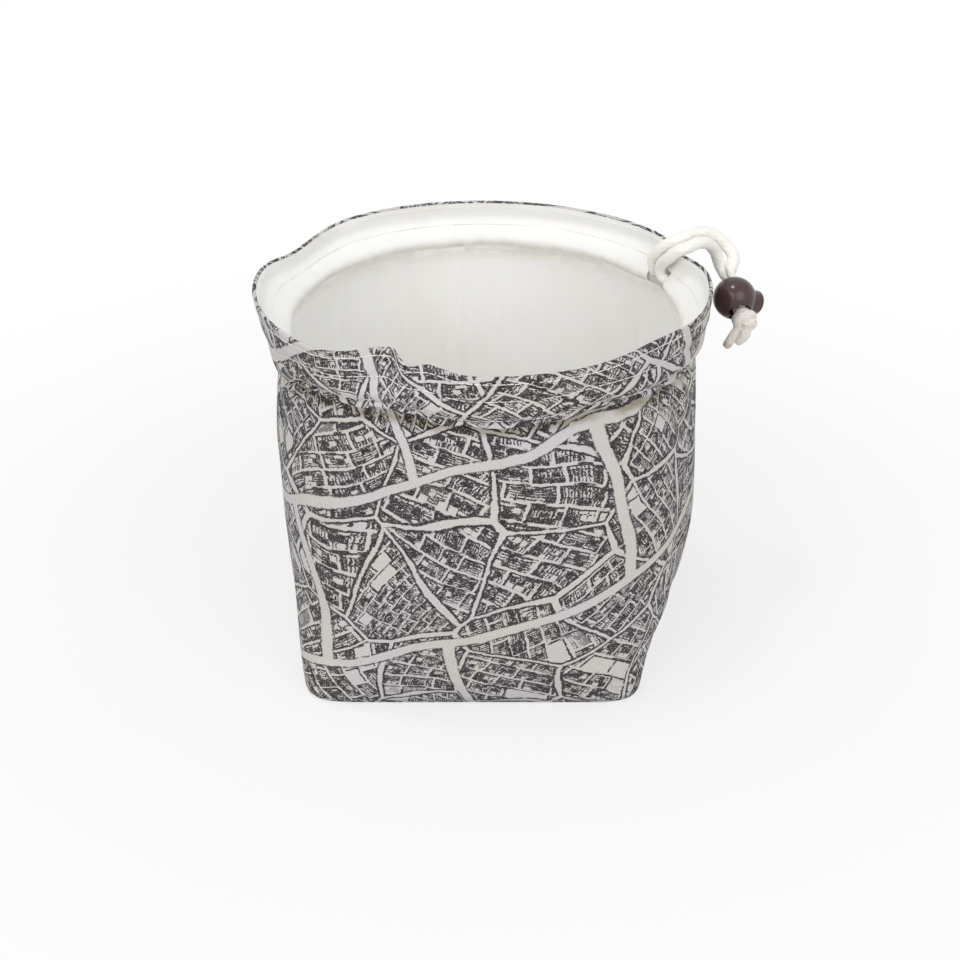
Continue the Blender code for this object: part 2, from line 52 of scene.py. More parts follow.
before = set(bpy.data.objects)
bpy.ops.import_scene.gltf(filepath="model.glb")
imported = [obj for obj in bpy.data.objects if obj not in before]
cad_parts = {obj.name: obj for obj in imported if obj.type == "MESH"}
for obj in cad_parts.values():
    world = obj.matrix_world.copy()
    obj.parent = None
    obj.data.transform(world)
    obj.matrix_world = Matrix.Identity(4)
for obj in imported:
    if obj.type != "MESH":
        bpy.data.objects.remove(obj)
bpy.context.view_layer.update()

# Cloth layers
OUTER_CLOTH = 0.0007
LINING_CLOTH = 0.0006
LAYER_GAP = 0.0003
LINING_FACE = OUTER_CLOTH + LAYER_GAP + LINING_CLOTH
FACING_FACE = LINING_FACE + LAYER_GAP + LINING_CLOTH

# The pouch's rim, neck and base
RIM_HEIGHT = 0.155
RIM_HALF_WIDTH = 0.093
RIM_HALF_DEPTH = 0.0855
RIM_ROLL = 0.0008
NECK_HEIGHT = 0.136
NECK_TUCK = 0.0014
FACING_OVERLAP = 0.0022
SEAM_TURN = math.radians(20)
EDGE_ROUND = 0.0020

# The drawstring's channel
CHANNEL_SHARE = 0.5
CORD_SHARE = 0.24
CHANNEL_BULGE_OUT = 0.0033
CHANNEL_BULGE_IN = 0.0034
NOTCH_ANGLE = math.radians(25.5)
NOTCH_LENGTH = 0.0145
CORD_TURN = 0.0046
CORD_END_GAP = 0.0003
CORD_DIAMETER = 0.0044

# Cord lock
RIM_RIGHT = Vector((RIM_HALF_WIDTH, 0.0, RIM_HEIGHT))
LOCK_CENTRE = RIM_RIGHT + Vector((0.01225, 0.0220, -0.01695))
CORD_AXIS = Vector((0.190, -0.860, -0.473)).normalized()
BUTTON_SIDE = Vector((0.839, 0.418, -0.348))
BUTTON_AXIS = (BUTTON_SIDE - CORD_AXIS * BUTTON_SIDE.dot(CORD_AXIS)).normalized()
LOCK_TURN = Matrix((BUTTON_AXIS, CORD_AXIS.cross(BUTTON_AXIS), CORD_AXIS)).transposed()
LOCK_FRAME = Matrix.Translation(LOCK_CENTRE) @ LOCK_TURN.to_4x4()
QUARTER = Matrix.Rotation(math.pi / 2, 4, "Y")
BALL_RADIUS = 0.009
CORD_HOLE = 0.0074
CORD_HOLE_MOUTH = 0.0100
BUTTON_DIAMETER = 0.0102
BUTTON_FIT = 0.0003
BUTTON_PROUD = 0.0033
BUTTON_DISH = 0.0004
BUTTON_INNER_END = -0.0030
BUTTON_BORE_END = -0.0059
SLOT_LENGTH = 0.0064
SLOT_CENTRE = 0.0020
SPRING_WELL = 0.0066
SPRING_WELL_END = -0.0076
SPRING_POCKET = 0.0008
SPRING_DIAMETER = 0.0054
SPRING_WIRE = 0.0006
SPRING_TURNS = 3
SPRING_GAP = 0.0003

# The drawstring's free strands
STRAND_DIAMETER = 0.0052
STRAND_IN_LOCK = 0.0030
STRAND_SPACING = 0.0035
STRAND_SHIFT = 0.0007
STRAND_SWELL = 0.0042
SQUEEZED_FROM = 0.0102
STRAND_LOOSE = 0.0100
STRAIGHT_FROM = 0.0135
STRAND_END = 0.0090
FRONT_STRAND = (
    (-0.0177, 0.0329, -0.0122),
    (-0.0183, 0.0324, -0.0070),
    (-0.0157, 0.0275, -0.0012),
    (-0.0120, 0.0244, 0.0034),
    (-0.0087, 0.0239, 0.0050),
    (-0.0030, 0.0295, 0.0050),
    (0.0020, 0.0352, 0.0018),
    (0.0055, 0.0389, -0.0040),
    (0.0074, 0.0381, -0.0092),
)
BACK_STRAND = (
    (-0.0202, 0.0380, -0.0122),
    (-0.0214, 0.0376, -0.0065),
    (-0.0185, 0.0340, 0.0000),
    (-0.0145, 0.0318, 0.0040),
    (-0.0105, 0.0315, 0.0055),
    (-0.0055, 0.0365, 0.0055),
    (0.0003, 0.0415, 0.0045),
    (0.0060, 0.0440, 0.0015),
    (0.0108, 0.0436, -0.0035),
    (0.0134, 0.0403, -0.0068),
)
TAILS_FROM = LOCK_CENTRE + CORD_AXIS * 0.0147 + Vector((0.0010, 0.0, 0.0))
KNOT_PLACE = LOCK_CENTRE + CORD_AXIS * 0.0121 + Vector((0.0012, 0.0, 0.0))
KNOT_TURNS = 1.9
KNOT_REACH = 0.0033
KNOT_LENGTH = 0.0062
KNOT_CORD = 0.0045
TAIL_DIAMETER = 0.0042
TAIL_SHIFT = Vector((0.0, 0.0012, 0.0020))
SEALED_TIP = 0.0016
FRONT_TAIL = ((-0.0038, -0.0009, -0.0047), (-0.0057, -0.0013, -0.0075), (-0.0073, -0.0016, -0.0105))
BACK_TAIL = ((-0.0008, 0.0046, -0.0041), (-0.0014, 0.0064, -0.0066), (-0.0028, 0.0076, -0.0094))

# Sections of the wall: share of the neck's height, half widths left and right, half depth,
# and how square the section is
Section = namedtuple("Section", "share left right depth squareness")
SECTIONS = (
    Section(0.00, 0.0738, 0.0652, 0.0744, 12.0),
    Section(0.10, 0.0774, 0.0698, 0.0785, 5.4),
    Section(0.26, 0.0802, 0.0822, 0.0828, 3.2),
    Section(0.44, 0.0837, 0.0890, 0.0856, 2.7),
    Section(0.66, 0.0854, 0.0890, 0.0865, 2.4),
    Section(0.88, 0.0844, 0.0876, 0.0858, 2.2),
    Section(1.00, 0.0832, 0.0864, 0.0845, 2.0),
)

# Waves of the cloth: place in degrees, reach before and after it, way outwards and upwards
Wave = namedtuple("Wave", "place before after out up")
RIM_WAVES = (
    Wave(-117, 11, 5, -0.0095, 0.0042),
    Wave(-105, 6, 7, -0.0045, 0.0018),
    Wave(155, 15, 11, -0.0035, -0.0028),
    Wave(20, 8, 8, -0.0045, 0.0),
    Wave(-40, 14, 14, -0.0008, 0.0022),
)
NECK_WAVES = (
    Wave(-164, 13, 13, -0.0018, -0.0150),
    Wave(-113, 12, 12, 0.0, 0.0042),
    Wave(-60, 9, 9, 0.0, 0.0024),
    Wave(-12, 14, 14, 0.0, -0.0050),
    Wave(24, 8, 8, -0.0006, 0.0020),
)
WallWave = namedtuple("WallWave", "place reach share spread out lean")
WALL_WAVES = (
    WallWave(-160, 9, 0.80, 0.13, -0.0016, 30),
    WallWave(-176, 8, 0.72, 0.16, 0.0010, 0),
    WallWave(-95, 16, 0.55, 0.22, 0.0012, 0),
    WallWave(-58, 10, 0.80, 0.16, -0.0010, -10),
    WallWave(-28, 9, 0.50, 0.20, -0.0012, 12),
    WallWave(40, 13, 0.60, 0.22, 0.0012, 0),
    WallWave(95, 12, 0.70, 0.20, -0.0018, 8),
    WallWave(140, 12, 0.50, 0.22, 0.0012, 0),
)

# How far the band bulges at shares of its height, as shares of the channel's bulge
OUTER_BULGE = ((0, 0), (0.1, 0.7), (0.24, 1), (0.38, 0.8), (0.5, 0.4), (0.66, 0.5), (0.84, 0.2), (1, 0))
FACING_BULGE = ((0, 0), (0.1, 0.65), (0.24, 1), (0.38, 0.8), (0.54, 0.34), (0.74, 0.08), (1, 0))

# Creases of the printed wall: from and to (degrees round, height), width and depth
Crease = namedtuple("Crease", "start end width depth")
PRINT_CREASES = (
    Crease((-166, 0.128), (-146, 0.096), 0.0022, -0.0016),
    Crease((-161, 0.130), (-138, 0.108), 0.0020, 0.0010),
    Crease((-153, 0.131), (-136, 0.118), 0.0016, -0.0009),
    Crease((-172, 0.118), (-160, 0.088), 0.0030, -0.0010),
    Crease((-120, 0.132), (-117, 0.112), 0.0024, -0.0010),
    Crease((-101, 0.131), (-97, 0.114), 0.0020, -0.0007),
    Crease((-84, 0.130), (-79, 0.104), 0.0026, -0.0008),
    Crease((-66, 0.130), (-70, 0.110), 0.0020, -0.0008),
    Crease((-50, 0.131), (-46, 0.108), 0.0024, -0.0010),
    Crease((-33, 0.128), (-24, 0.098), 0.0024, -0.0011),
    Crease((-20, 0.125), (-8, 0.085), 0.0030, -0.0012),
    Crease((-36, 0.050), (-20, 0.022), 0.0040, -0.0010),
    Crease((-140, 0.040), (-134, 0.012), 0.0040, -0.0008),
    Crease((20, 0.128), (28, 0.090), 0.0028, -0.0012),
    Crease((58, 0.130), (62, 0.100), 0.0026, -0.0010),
    Crease((92, 0.130), (96, 0.082), 0.0030, -0.0012),
    Crease((121, 0.130), (116, 0.104), 0.0026, -0.0010),
    Crease((149, 0.128), (156, 0.092), 0.0028, -0.0012),
)
LINING_CREASES = (
    Crease((97, 0.130), (99, 0.040), 0.0030, -0.0016),
    Crease((86, 0.134), (84, 0.070), 0.0024, -0.0009),
    Crease((70, 0.130), (74, 0.060), 0.0034, -0.0012),
    Crease((118, 0.132), (114, 0.066), 0.0030, -0.0012),
    Crease((135, 0.130), (139, 0.080), 0.0026, -0.0012),
    Crease((158, 0.128), (152, 0.060), 0.0030, -0.0015),
    Crease((52, 0.130), (49, 0.072), 0.0026, -0.0011),
    Crease((36, 0.128), (41, 0.060), 0.0030, -0.0014),
    Crease((12, 0.124), (14, 0.050), 0.0032, -0.0015),
    Crease((-20, 0.122), (-18, 0.060), 0.0030, -0.0014),
    Crease((-62, 0.128), (-60, 0.060), 0.0030, -0.0012),
    Crease((-98, 0.128), (-101, 0.050), 0.0030, -0.0014),
    Crease((-140, 0.128), (-137, 0.060), 0.0030, -0.0014),
)

# The rim's roll in degrees, and the band's hem: share of the band, way outwards
RIM_TURNS = (180, 144, 108, 72, 36, 0)
HEM = ((0.012, 0.0027), (-0.035, 0.0029), (-0.072, 0.0023), (-0.080, 0.0010), (-0.052, -0.0004))

# The cloth's mesh and its place in the UV map
FRONT_COLUMNS = 176
BACK_COLUMNS = 160
COLUMNS = FRONT_COLUMNS + BACK_COLUMNS
WALL_ROWS = 68
BAND_ROWS = 26
BASE_ROWS = 14
UNDER_HEM_ROW = len(RIM_TURNS) + BAND_ROWS + len(HEM) + 1
FRONT_WIDTH = 0.275
BACK_WIDTH = 0.245
ROUND = FRONT_WIDTH + BACK_WIDTH
PLACE = np.concatenate(
    [
        np.linspace(0, FRONT_WIDTH, FRONT_COLUMNS + 1)[:-1],
        FRONT_WIDTH + np.linspace(0, BACK_WIDTH, BACK_COLUMNS + 1)[:-1],
    ]
)
MEAN_RADIUS = 0.085
BASE_HALF_DEPTH = 0.0745
SEAM_VALLEY = 0.0006
SEAM_REACH = 0.0009
GROOVE = 0.0013
STITCH_SIDES = 6

# The print: size, reach and detail of the drift of its lines, then sizes of its roads, and of its
# patches, plots and yards as shares of a plot
DRIFTS = ((0.070, 0.030, 1.0), (0.0048, 0.0014, 2.0), (0.0012, 0.0008, 3.0))
ROADS_APART = (0.118, 0.071)
ROAD_TURN = 0.33
PATCH_SHARE = 2.3
PLOT_SHARES = (0.62, 0.40)
YARD_SHARES = (0.205, 0.133)

# The stage: where the camera looks, and each lamp's place, size and share of the key light
LOOK_AT = Vector((-0.00107, 0.0, 0.063))
LAMPS = (
    ("left lamp", (-0.9, -1.4, 1.25), 1.5, 1.0),
    ("right lamp", (0.9, -1.4, 1.25), 1.5, 0.9),
    ("top lamp", (-0.25, 0.0, 1.9), 0.34, 0.5),
)


class PouchSizes(bpy.types.PropertyGroup):
    """Sizes of the stitches, the creases, the print and the weave"""

    stitch_pitch: bpy.props.FloatProperty(
        name="Stitch pitch", description="From one stitch to the next",
        default=0.0030, min=0.001, unit="LENGTH",
    )
    stitch_length: bpy.props.FloatProperty(
        name="Stitch length", description="Thread that shows in each stitch",
        default=0.0026, min=0.0005, unit="LENGTH",
    )
    thread: bpy.props.FloatProperty(
        name="Thread", description="Diameter of the sewing thread",
        default=0.00038, min=0.0001, unit="LENGTH",
    )
    crease_depth: bpy.props.FloatProperty(
        name="Creases", description="Depth of the creases, as a share of the usual",
        default=1.0, min=0, subtype="FACTOR",
    )
    plot: bpy.props.FloatProperty(
        name="Print plots", description="Usual width of a plot in the print",
        default=0.0165, min=0.004, unit="LENGTH",
    )
    lane: bpy.props.FloatProperty(
        name="Print lanes", description="Width of the print's wide lanes",
        default=0.0048, min=0.001, unit="LENGTH",
    )
    weave: bpy.props.FloatProperty(
        name="Weave", description="From one warp thread to the next",
        default=0.00055, min=0.0002, unit="LENGTH",
    )


class PouchColours(bpy.types.PropertyGroup):
    """Colours of the cloth, the cord and the lock"""

    ground: bpy.props.FloatVectorProperty(
        name="Ground", description="Printed cloth between the ink",
        default=(0.600, 0.580, 0.586), size=3, subtype="COLOR",
    )
    ink: bpy.props.FloatVectorProperty(
        name="Ink", description="The print's charcoal ink",
        default=(0.030, 0.025, 0.028), size=3, subtype="COLOR",
    )
    lining: bpy.props.FloatVectorProperty(
        name="Lining", description="Cream lining and facing",
        default=(0.985, 0.980, 0.962), size=3, subtype="COLOR",
    )
    cord: bpy.props.FloatVectorProperty(
        name="Cord", description="Braided cotton cord",
        default=(0.965, 0.950, 0.905), size=3, subtype="COLOR",
    )
    lock: bpy.props.FloatVectorProperty(
        name="Lock", description="Brown plastic of the cord lock",
        default=(0.050, 0.026, 0.024), size=3, subtype="COLOR",
    )


class StageLook(bpy.types.PropertyGroup):
    """The camera and the light"""

    elevation: bpy.props.FloatProperty(
        name="Elevation", description="How far the camera looks down",
        default=math.radians(30), subtype="ANGLE",
    )
    distance: bpy.props.FloatProperty(
        name="Distance", description="From the camera to the pouch",
        default=0.9, min=0.2, unit="LENGTH",
    )
    lens: bpy.props.FloatProperty(
        name="Lens", description="Focal length in millimetres on a 36 mm sensor",
        default=79.125, min=10, subtype="NONE",
    )
    key: bpy.props.FloatProperty(
        name="Key light", description="Power of the left lamp, which the others follow",
        default=11.2, min=0, unit="POWER",
    )
    fill: bpy.props.FloatProperty(
        name="Surroundings", description="Strength of the light from all sides",
        default=0.60, min=0, subtype="FACTOR",
    )


def look():
    return bpy.context.scene.pouch_sizes


def colours():
    return bpy.context.scene.pouch_colours


def eased(t):
    """From 0 to 1 with a soft start and end."""
    return t * t * (3 - 2 * t)


def lengths_along(line):
    return np.concatenate([[0.0], np.cumsum(np.linalg.norm(np.diff(line, axis=0), axis=1))])


def points_at(wanted, lengths, line):
    """Points of the line at these lengths along it."""
    return np.stack([np.interp(wanted, lengths, line[:, k]) for k in range(3)], axis=-1)


def object_from(name, mesh, mat=None):
    """A new object of the scene from the bmesh, which it frees."""
    data = bpy.data.meshes.new(name)
    mesh.to_mesh(data)
    mesh.free()
    if mat:
        data.materials.append(mat)
    piece = bpy.data.objects.new(name, data)
    bpy.context.scene.collection.objects.link(piece)
    return piece


def polar_radius(angle, left, right, depth, squareness):
    across = np.where(np.cos(angle) > 0, right, left)
    x = np.abs(np.cos(angle)) / across
    y = np.abs(np.sin(angle)) / depth
    return (x**squareness + y**squareness) ** (-1 / squareness)


def wave_at(waves, angle):
    out, up = np.zeros_like(angle), np.zeros_like(angle)
    for wave in waves:
        away = (np.degrees(angle) - wave.place + 180) % 360 - 180
        bell = np.exp(-((away / np.where(away < 0, wave.before, wave.after)) ** 2))
        out += wave.out * bell
        up += wave.up * bell
    return out, up


def wall_wave_at(angle, share):
    out = np.zeros_like(angle)
    for wave in WALL_WAVES:
        rise = share - wave.share
        away = (np.degrees(angle) - wave.place - wave.lean * rise + 180) % 360 - 180
        out += wave.out * np.exp(-((away / wave.reach) ** 2) - (rise / wave.spread) ** 2)
    return out


def polar_points(angle, radius, height):
    return np.stack([radius * np.cos(angle), radius * np.sin(angle), height + 0 * angle], axis=1)


def section_at(share):
    known = [s.share for s in SECTIONS]
    return [np.interp(share, known, [s[k] for s in SECTIONS]) for k in range(1, 5)]


def smooth_section(share):
    near = [section_at(min(max(share + d, 0.0), 1.0)) for d in (-0.05, 0.0, 0.05)]
    return [0.25 * a + 0.5 * b + 0.25 * c for a, b, c in zip(*near)]


def wall_curve(angle, share, inset):
    left, right, depth, squareness = smooth_section(share)
    radius = polar_radius(angle, left, right, depth, squareness)
    near_neck = share**6
    out, up = wave_at(NECK_WAVES, angle)
    tuck = NECK_TUCK * max(0.0, (share - 0.94) / 0.06)
    radius = radius - inset - tuck + near_neck * out + wall_wave_at(angle, share)
    return polar_points(angle, radius, share * NECK_HEIGHT + near_neck * up)


def rim_curve(angle):
    radius = polar_radius(angle, RIM_HALF_WIDTH, RIM_HALF_WIDTH, RIM_HALF_DEPTH, 2)
    out, up = wave_at(RIM_WAVES, angle)
    return polar_points(angle, radius + out, RIM_HEIGHT + up)


def outward(points):
    flat = points * np.array([1.0, 1.0, 0.0])
    return flat / np.linalg.norm(flat, axis=1)[:, None]


def pushed(points, way):
    """The points moved outwards by the way given for each."""
    return points + outward(points) * way[:, None]


def band_curve(angle, share, offset):
    """Points of the band between the neck and the rim, offset outwards."""
    low = wall_curve(angle, 1.0, 0.0)
    points = low + (rim_curve(angle) - low) * share
    return points + outward(points) * offset


def smooth_profile(table, share):
    """A smooth curve through the table's points that never passes beyond them."""
    places = [p[0] for p in table]
    values = [p[1] for p in table]
    share = min(max(share, places[0]), places[-1])
    k = max(i for i in range(len(places) - 1) if places[i] <= share)
    slopes = np.gradient(values, places)
    rises = np.diff(values)
    slopes[1:-1][rises[:-1] * rises[1:] <= 0] = 0.0
    width = places[k + 1] - places[k]
    t = (share - places[k]) / width
    start, end = values[k], values[k + 1]
    rise, fall = slopes[k] * width, slopes[k + 1] * width
    curve = (2 * t**3 - 3 * t**2 + 1) * start + (3 * t**2 - 2 * t**3) * end
    return float(curve + (t**3 - 2 * t**2 + t) * rise + (t**3 - t**2) * fall)


def outer_band_offset(share):
    return CHANNEL_BULGE_OUT * smooth_profile(OUTER_BULGE, share)


def facing_band_offset(share):
    """The facing's inner side, outwards from the band's straight line."""
    header = outer_band_offset(max(share, CHANNEL_SHARE)) - OUTER_CLOTH - LAYER_GAP
    away = max(0.0, 1 - share / CHANNEL_SHARE)
    straight = header + (-(LINING_FACE + LAYER_GAP) - header) * away
    return straight - CHANNEL_BULGE_IN * smooth_profile(FACING_BULGE, share) - LINING_CLOTH


def seam_angle(share):
    return SEAM_TURN * eased(share)


def along(curve, start, end, shares):
    fine = curve(np.linspace(start, end, 721))
    lengths = lengths_along(fine)
    return points_at(shares * lengths[-1], lengths, fine)


def ring(curve, level):
    """One row of the cloth, once round from the right seam by way of the front."""
    seam = seam_angle(min(level, 1.0))
    front = along(curve, seam, -math.pi, np.linspace(0, 1, FRONT_COLUMNS + 1))
    back = along(curve, seam, math.pi, np.linspace(0, 1, BACK_COLUMNS + 1))
    return np.concatenate([front, back[-2:0:-1]])


def soft_noise(place, height, size, seed):
    """Smooth random values from -1 to 1 over the cloth, with bumps of about this size."""
    across = max(4, round(ROUND / size))
    table = np.random.default_rng(seed).uniform(-1, 1, (256, across))
    x = np.asarray(place) / ROUND * across
    y = np.asarray(height) / size + 64
    i, j = np.floor(x).astype(int), np.floor(y).astype(int)
    u, v = eased(x - i), eased(y - j)
    low = table[j % 256, i % across] * (1 - u) + table[j % 256, (i + 1) % across] * u
    high = table[(j + 1) % 256, i % across] * (1 - u) + table[(j + 1) % 256, (i + 1) % across] * u
    return low * (1 - v) + high * v


def crease_relief(points, creases):
    """How far the creases push these points of the cloth outwards."""
    angle = np.degrees(np.arctan2(points[:, 1], points[:, 0]))
    relief = np.zeros(len(points))
    per_degree = math.radians(1) * MEAN_RADIUS
    for crease in creases:
        x = ((angle - crease.start[0] + 180) % 360 - 180) * per_degree
        y = points[:, 2] - crease.start[1]
        dx = (crease.end[0] - crease.start[0]) * per_degree
        dy = crease.end[1] - crease.start[1]
        length = math.hypot(dx, dy)
        run = (x * dx + y * dy) / length
        side = (x * dy - y * dx) / length
        width = crease.width * (0.7 + 0.9 * np.clip(run / length, 0, 1))
        taper = np.clip(1 - np.abs(run / length - 0.42) / 0.62, 0, 1)
        relief += crease.depth * np.exp(-((side / width) ** 2)) * eased(taper)
    return relief


def puckers(height, line, reach, depth, seed):
    """Short gathers beside a stitched line."""
    near = np.exp(-np.abs(height - line) / reach)
    pattern = soft_noise(PLACE, np.full(COLUMNS, 0.01 * seed), 0.0052, seed)
    pattern = pattern + 0.6 * soft_noise(PLACE, np.full(COLUMNS, 0.0), 0.0027, seed + 1)
    return depth * near * pattern


def seam_relief(points, level):
    """The valley of the two side seams."""
    angle = np.arctan2(points[:, 1], points[:, 0])
    relief = np.zeros(len(points))
    for seam in (seam_angle(min(level, 1.0)), math.pi):
        away = (angle - seam + math.pi) % (2 * math.pi) - math.pi
        relief -= SEAM_VALLEY * np.exp(-((away * MEAN_RADIUS / SEAM_REACH) ** 2))
    return relief


def with_base(rows, inset, foot, lift=0.0):
    """Adds the base's rounded edge and the base, in to the seam across it, and says where it starts."""
    rows[-1][:, 2] = foot + EDGE_ROUND
    for turn in (30, 60, 90):
        inward = inset + EDGE_ROUND * (1 - math.cos(math.radians(turn)))
        row = ring(lambda a: wall_curve(a, 0.0, inward), 0.0)
        row[:, 2] = foot + EDGE_ROUND * (1 - math.sin(math.radians(turn)))
        rows.append(row)
    base_from, edge = len(rows) - 1, rows[-1]
    front = np.linspace(0, 1, FRONT_COLUMNS + 1)[:-1]
    back = 1 - np.linspace(0, 1, BACK_COLUMNS + 1)[:-1]
    right, left = edge[0, 0], edge[FRONT_COLUMNS, 0]
    seam = np.zeros_like(edge)
    seam[:, 0] = right + (left - right) * np.concatenate([front, back])
    seam[:, 2] = foot
    for row in range(1, BASE_ROWS + 1):
        points = edge + (seam - edge) * row / BASE_ROWS
        if lift:
            wave = soft_noise(points[:, 0] + 0.3, points[:, 1] + 0.2, 0.022, 31)
            points[:, 2] += lift * (0.5 + 0.5 * wave) * math.sin(math.pi / 2 * row / BASE_ROWS)
        rows.append(points)
    return rows, base_from


def lengths_down(rows):
    """How far down the cloth each row lies, below zero, from the first row on."""
    steps = np.linalg.norm(np.diff(np.array(rows), axis=0), axis=2).mean(axis=1)
    return -np.concatenate([[0.0], np.cumsum(steps)])


def cloth_object(name, rows, mat, inner=False, skip=None, base_from=math.inf):
    """One sheet of cloth through the rows, with a UV map in metres."""
    mesh = bmesh.new()
    verts = [[mesh.verts.new(p) for p in row] for row in rows]
    uv = mesh.loops.layers.uv.new("cloth")
    down = lengths_down(rows)
    for r in range(len(rows) - 1):
        for c in range(COLUMNS):
            if skip and skip(r, c):
                continue
            d = (c + 1) % COLUMNS
            corners = [(r, c), (r + 1, c), (r + 1, d), (r, d)]
            if not inner:
                corners.reverse()
            face = mesh.faces.new([verts[i][j] for i, j in corners])
            face.smooth = True
            for loop, (i, j) in zip(face.loops, corners):
                if r >= base_from:
                    x, y = rows[i][j][:2]
                    u = FRONT_WIDTH / 2 - x if c < FRONT_COLUMNS else FRONT_WIDTH + BACK_WIDTH / 2 + x
                    loop[uv].uv = (u, down[base_from] - (BASE_HALF_DEPTH - abs(y)))
                else:
                    loop[uv].uv = (PLACE[j] if j or c < COLUMNS - 1 else ROUND, down[i])
    bmesh.ops.remove_doubles(mesh, verts=mesh.verts, dist=0.00001)
    return object_from(name, mesh, mat)


def printed_shell_rows():
    """Rows of the printed cloth: over the rim, down the band and the wall, under the base."""
    rows = []
    ragged = 0.00012 * soft_noise(PLACE, np.zeros(COLUMNS), 0.0016, 5)
    for turn in RIM_TURNS:
        out = RIM_ROLL * (math.cos(math.radians(turn)) - 1)
        up = RIM_ROLL * math.sin(math.radians(turn))
        row = ring(lambda a: band_curve(a, 1.0, out), 1.0)
        row[:, 2] += up + ragged * (up > 0)
        rows.append(row)
    for share in np.linspace(0.965, 0.045, BAND_ROWS):
        row = ring(lambda a: band_curve(a, share, outer_band_offset(share)), 1.0)
        rows.append(pushed(row, band_relief(share) + seam_relief(row, 1.0)))
    for share, out in HEM:
        row = ring(lambda a: band_curve(a, share, out), 1.0)
        row = pushed(row, puckers(share, 0.0, 0.3, 0.0007, 11))
        row[:, 2] += puckers(share, 0.0, 0.3, 0.0008, 13)
        rows.append(row)
    for share in np.linspace(0.985, 0.0, WALL_ROWS):
        groove = GROOVE * max(0.0, 1 - (1 - share) / 0.07)
        row = ring(lambda a: wall_curve(a, share, groove), share)
        relief = crease_relief(row, PRINT_CREASES)
        relief += 0.00040 * soft_noise(PLACE, row[:, 2], 0.023, 3)
        relief += 0.00014 * soft_noise(PLACE, row[:, 2], 0.009, 4)
        relief += puckers(share * NECK_HEIGHT, NECK_HEIGHT, 0.010, 0.0010, 11)
        relief *= min(1.0, share / 0.08) * look().crease_depth
        rows.append(pushed(row, relief + seam_relief(row, share) * min(1.0, share / 0.05)))
    return with_base(rows, 0.0, 0.0)


def band_relief(share):
    """Gathers of the band beside its rows of stitches."""
    relief = puckers(share, CHANNEL_SHARE, 0.16, 0.00035, 15) + puckers(share, 0.0, 0.2, 0.0006, 11)
    relief += puckers(share, 0.9, 0.1, 0.00016, 17)
    return relief + 0.00025 * soft_noise(PLACE, np.full(COLUMNS, share * 0.019), 0.012, 7)


def lining_rows():
    rows = []
    for share in np.linspace(1.0, 0.0, WALL_ROWS):
        row = ring(lambda a: wall_curve(a, share, LINING_FACE), share)
        relief = crease_relief(row, LINING_CREASES)
        relief -= 0.0014 * (0.5 + 0.5 * soft_noise(PLACE, row[:, 2] * 0.6, 0.026, 21))
        relief -= 0.0006 * (0.5 + 0.5 * soft_noise(PLACE, row[:, 2] * 0.4, 0.010, 22))
        relief *= min(1.0, share / 0.1) * look().crease_depth
        rows.append(pushed(row, np.minimum(relief, 0.0)))
    return with_base(rows, LINING_FACE, LINING_FACE, lift=0.0008)


def facing_rows():
    """Rows of the facing, from under the rim's roll down to its hem, which lies on the lining."""
    rows, shares = [], []
    for share in np.linspace(1.0, 0.03, BAND_ROWS):
        row = ring(lambda a: band_curve(a, share, facing_band_offset(share)), 1.0)
        relief = puckers(share, CHANNEL_SHARE, 0.16, 0.00040, 15) + puckers(share, 0.0, 0.2, 0.0009, 19)
        relief += 0.0004 * soft_noise(PLACE, np.full(COLUMNS, share * 0.019), 0.014, 27)
        rows.append(pushed(row, relief * min(1.0, (1 - share) / 0.1)))
        shares.append(share)
    under = 1 - FACING_OVERLAP / NECK_HEIGHT
    for share, inset in ((0.996, FACING_FACE), (under, FACING_FACE), (under - 0.002, FACING_FACE - 0.0003)):
        row = ring(lambda a: wall_curve(a, share, inset), 1.0)
        rows.append(pushed(row, puckers(0.0, 0.0, 0.2, 0.00025, 19)))
        shares.append(share - 1)
    rows.append(ring(lambda a: wall_curve(a, under - 0.001, LINING_FACE), 1.0))
    shares.append(-1)
    return rows, shares


def new_material(name, roughness, sheen=0.0):
    mat = bpy.data.materials.new(name)
    mat.use_nodes = True
    shader = mat.node_tree.nodes["Principled BSDF"]
    shader.inputs["Roughness"].default_value = roughness
    shader.inputs["Sheen Weight"].default_value = sheen
    if roughness > 0.8:
        shader.inputs["Specular IOR Level"].default_value = 0.12
    return mat, mat.node_tree, shader


def feed(tree, node, inputs):
    for key, value in inputs.items():
        socket = node.inputs[key]
        if isinstance(value, bpy.types.NodeSocket):
            tree.links.new(value, socket)
        else:
            socket.default_value = value


def add_node(tree, kind, inputs=None, **settings):
    node = tree.nodes.new(kind)
    for key, value in settings.items():
        setattr(node, key, value)
    feed(tree, node, inputs or {})
    return node


def maths(tree, operation, first, second=0.0, third=0.0, clamp=False):
    """One step of arithmetic; third is what MULTIPLY_ADD adds."""
    inputs = {0: first, 1: second, 2: third}
    return add_node(tree, "ShaderNodeMath", inputs, operation=operation, use_clamp=clamp).outputs[0]


def ramp(tree, value, low, high, rising=True):
    """From 0 to 1 as the value goes from low to high, or the other way round."""
    ends = (0.0, 1.0) if rising else (1.0, 0.0)
    node = add_node(
        tree,
        "ShaderNodeMapRange",
        {"Value": value, "From Min": low, "From Max": high, "To Min": ends[0], "To Max": ends[1]},
        interpolation_type="SMOOTHSTEP",
    )
    return node.outputs["Result"]


def noise(tree, vector, size, detail=2.0, rough=0.5, kind="Fac"):
    node = add_node(
        tree, "ShaderNodeTexNoise", {"Vector": vector, "Scale": 1 / size, "Detail": detail, "Roughness": rough}
    )
    return node.outputs[kind]


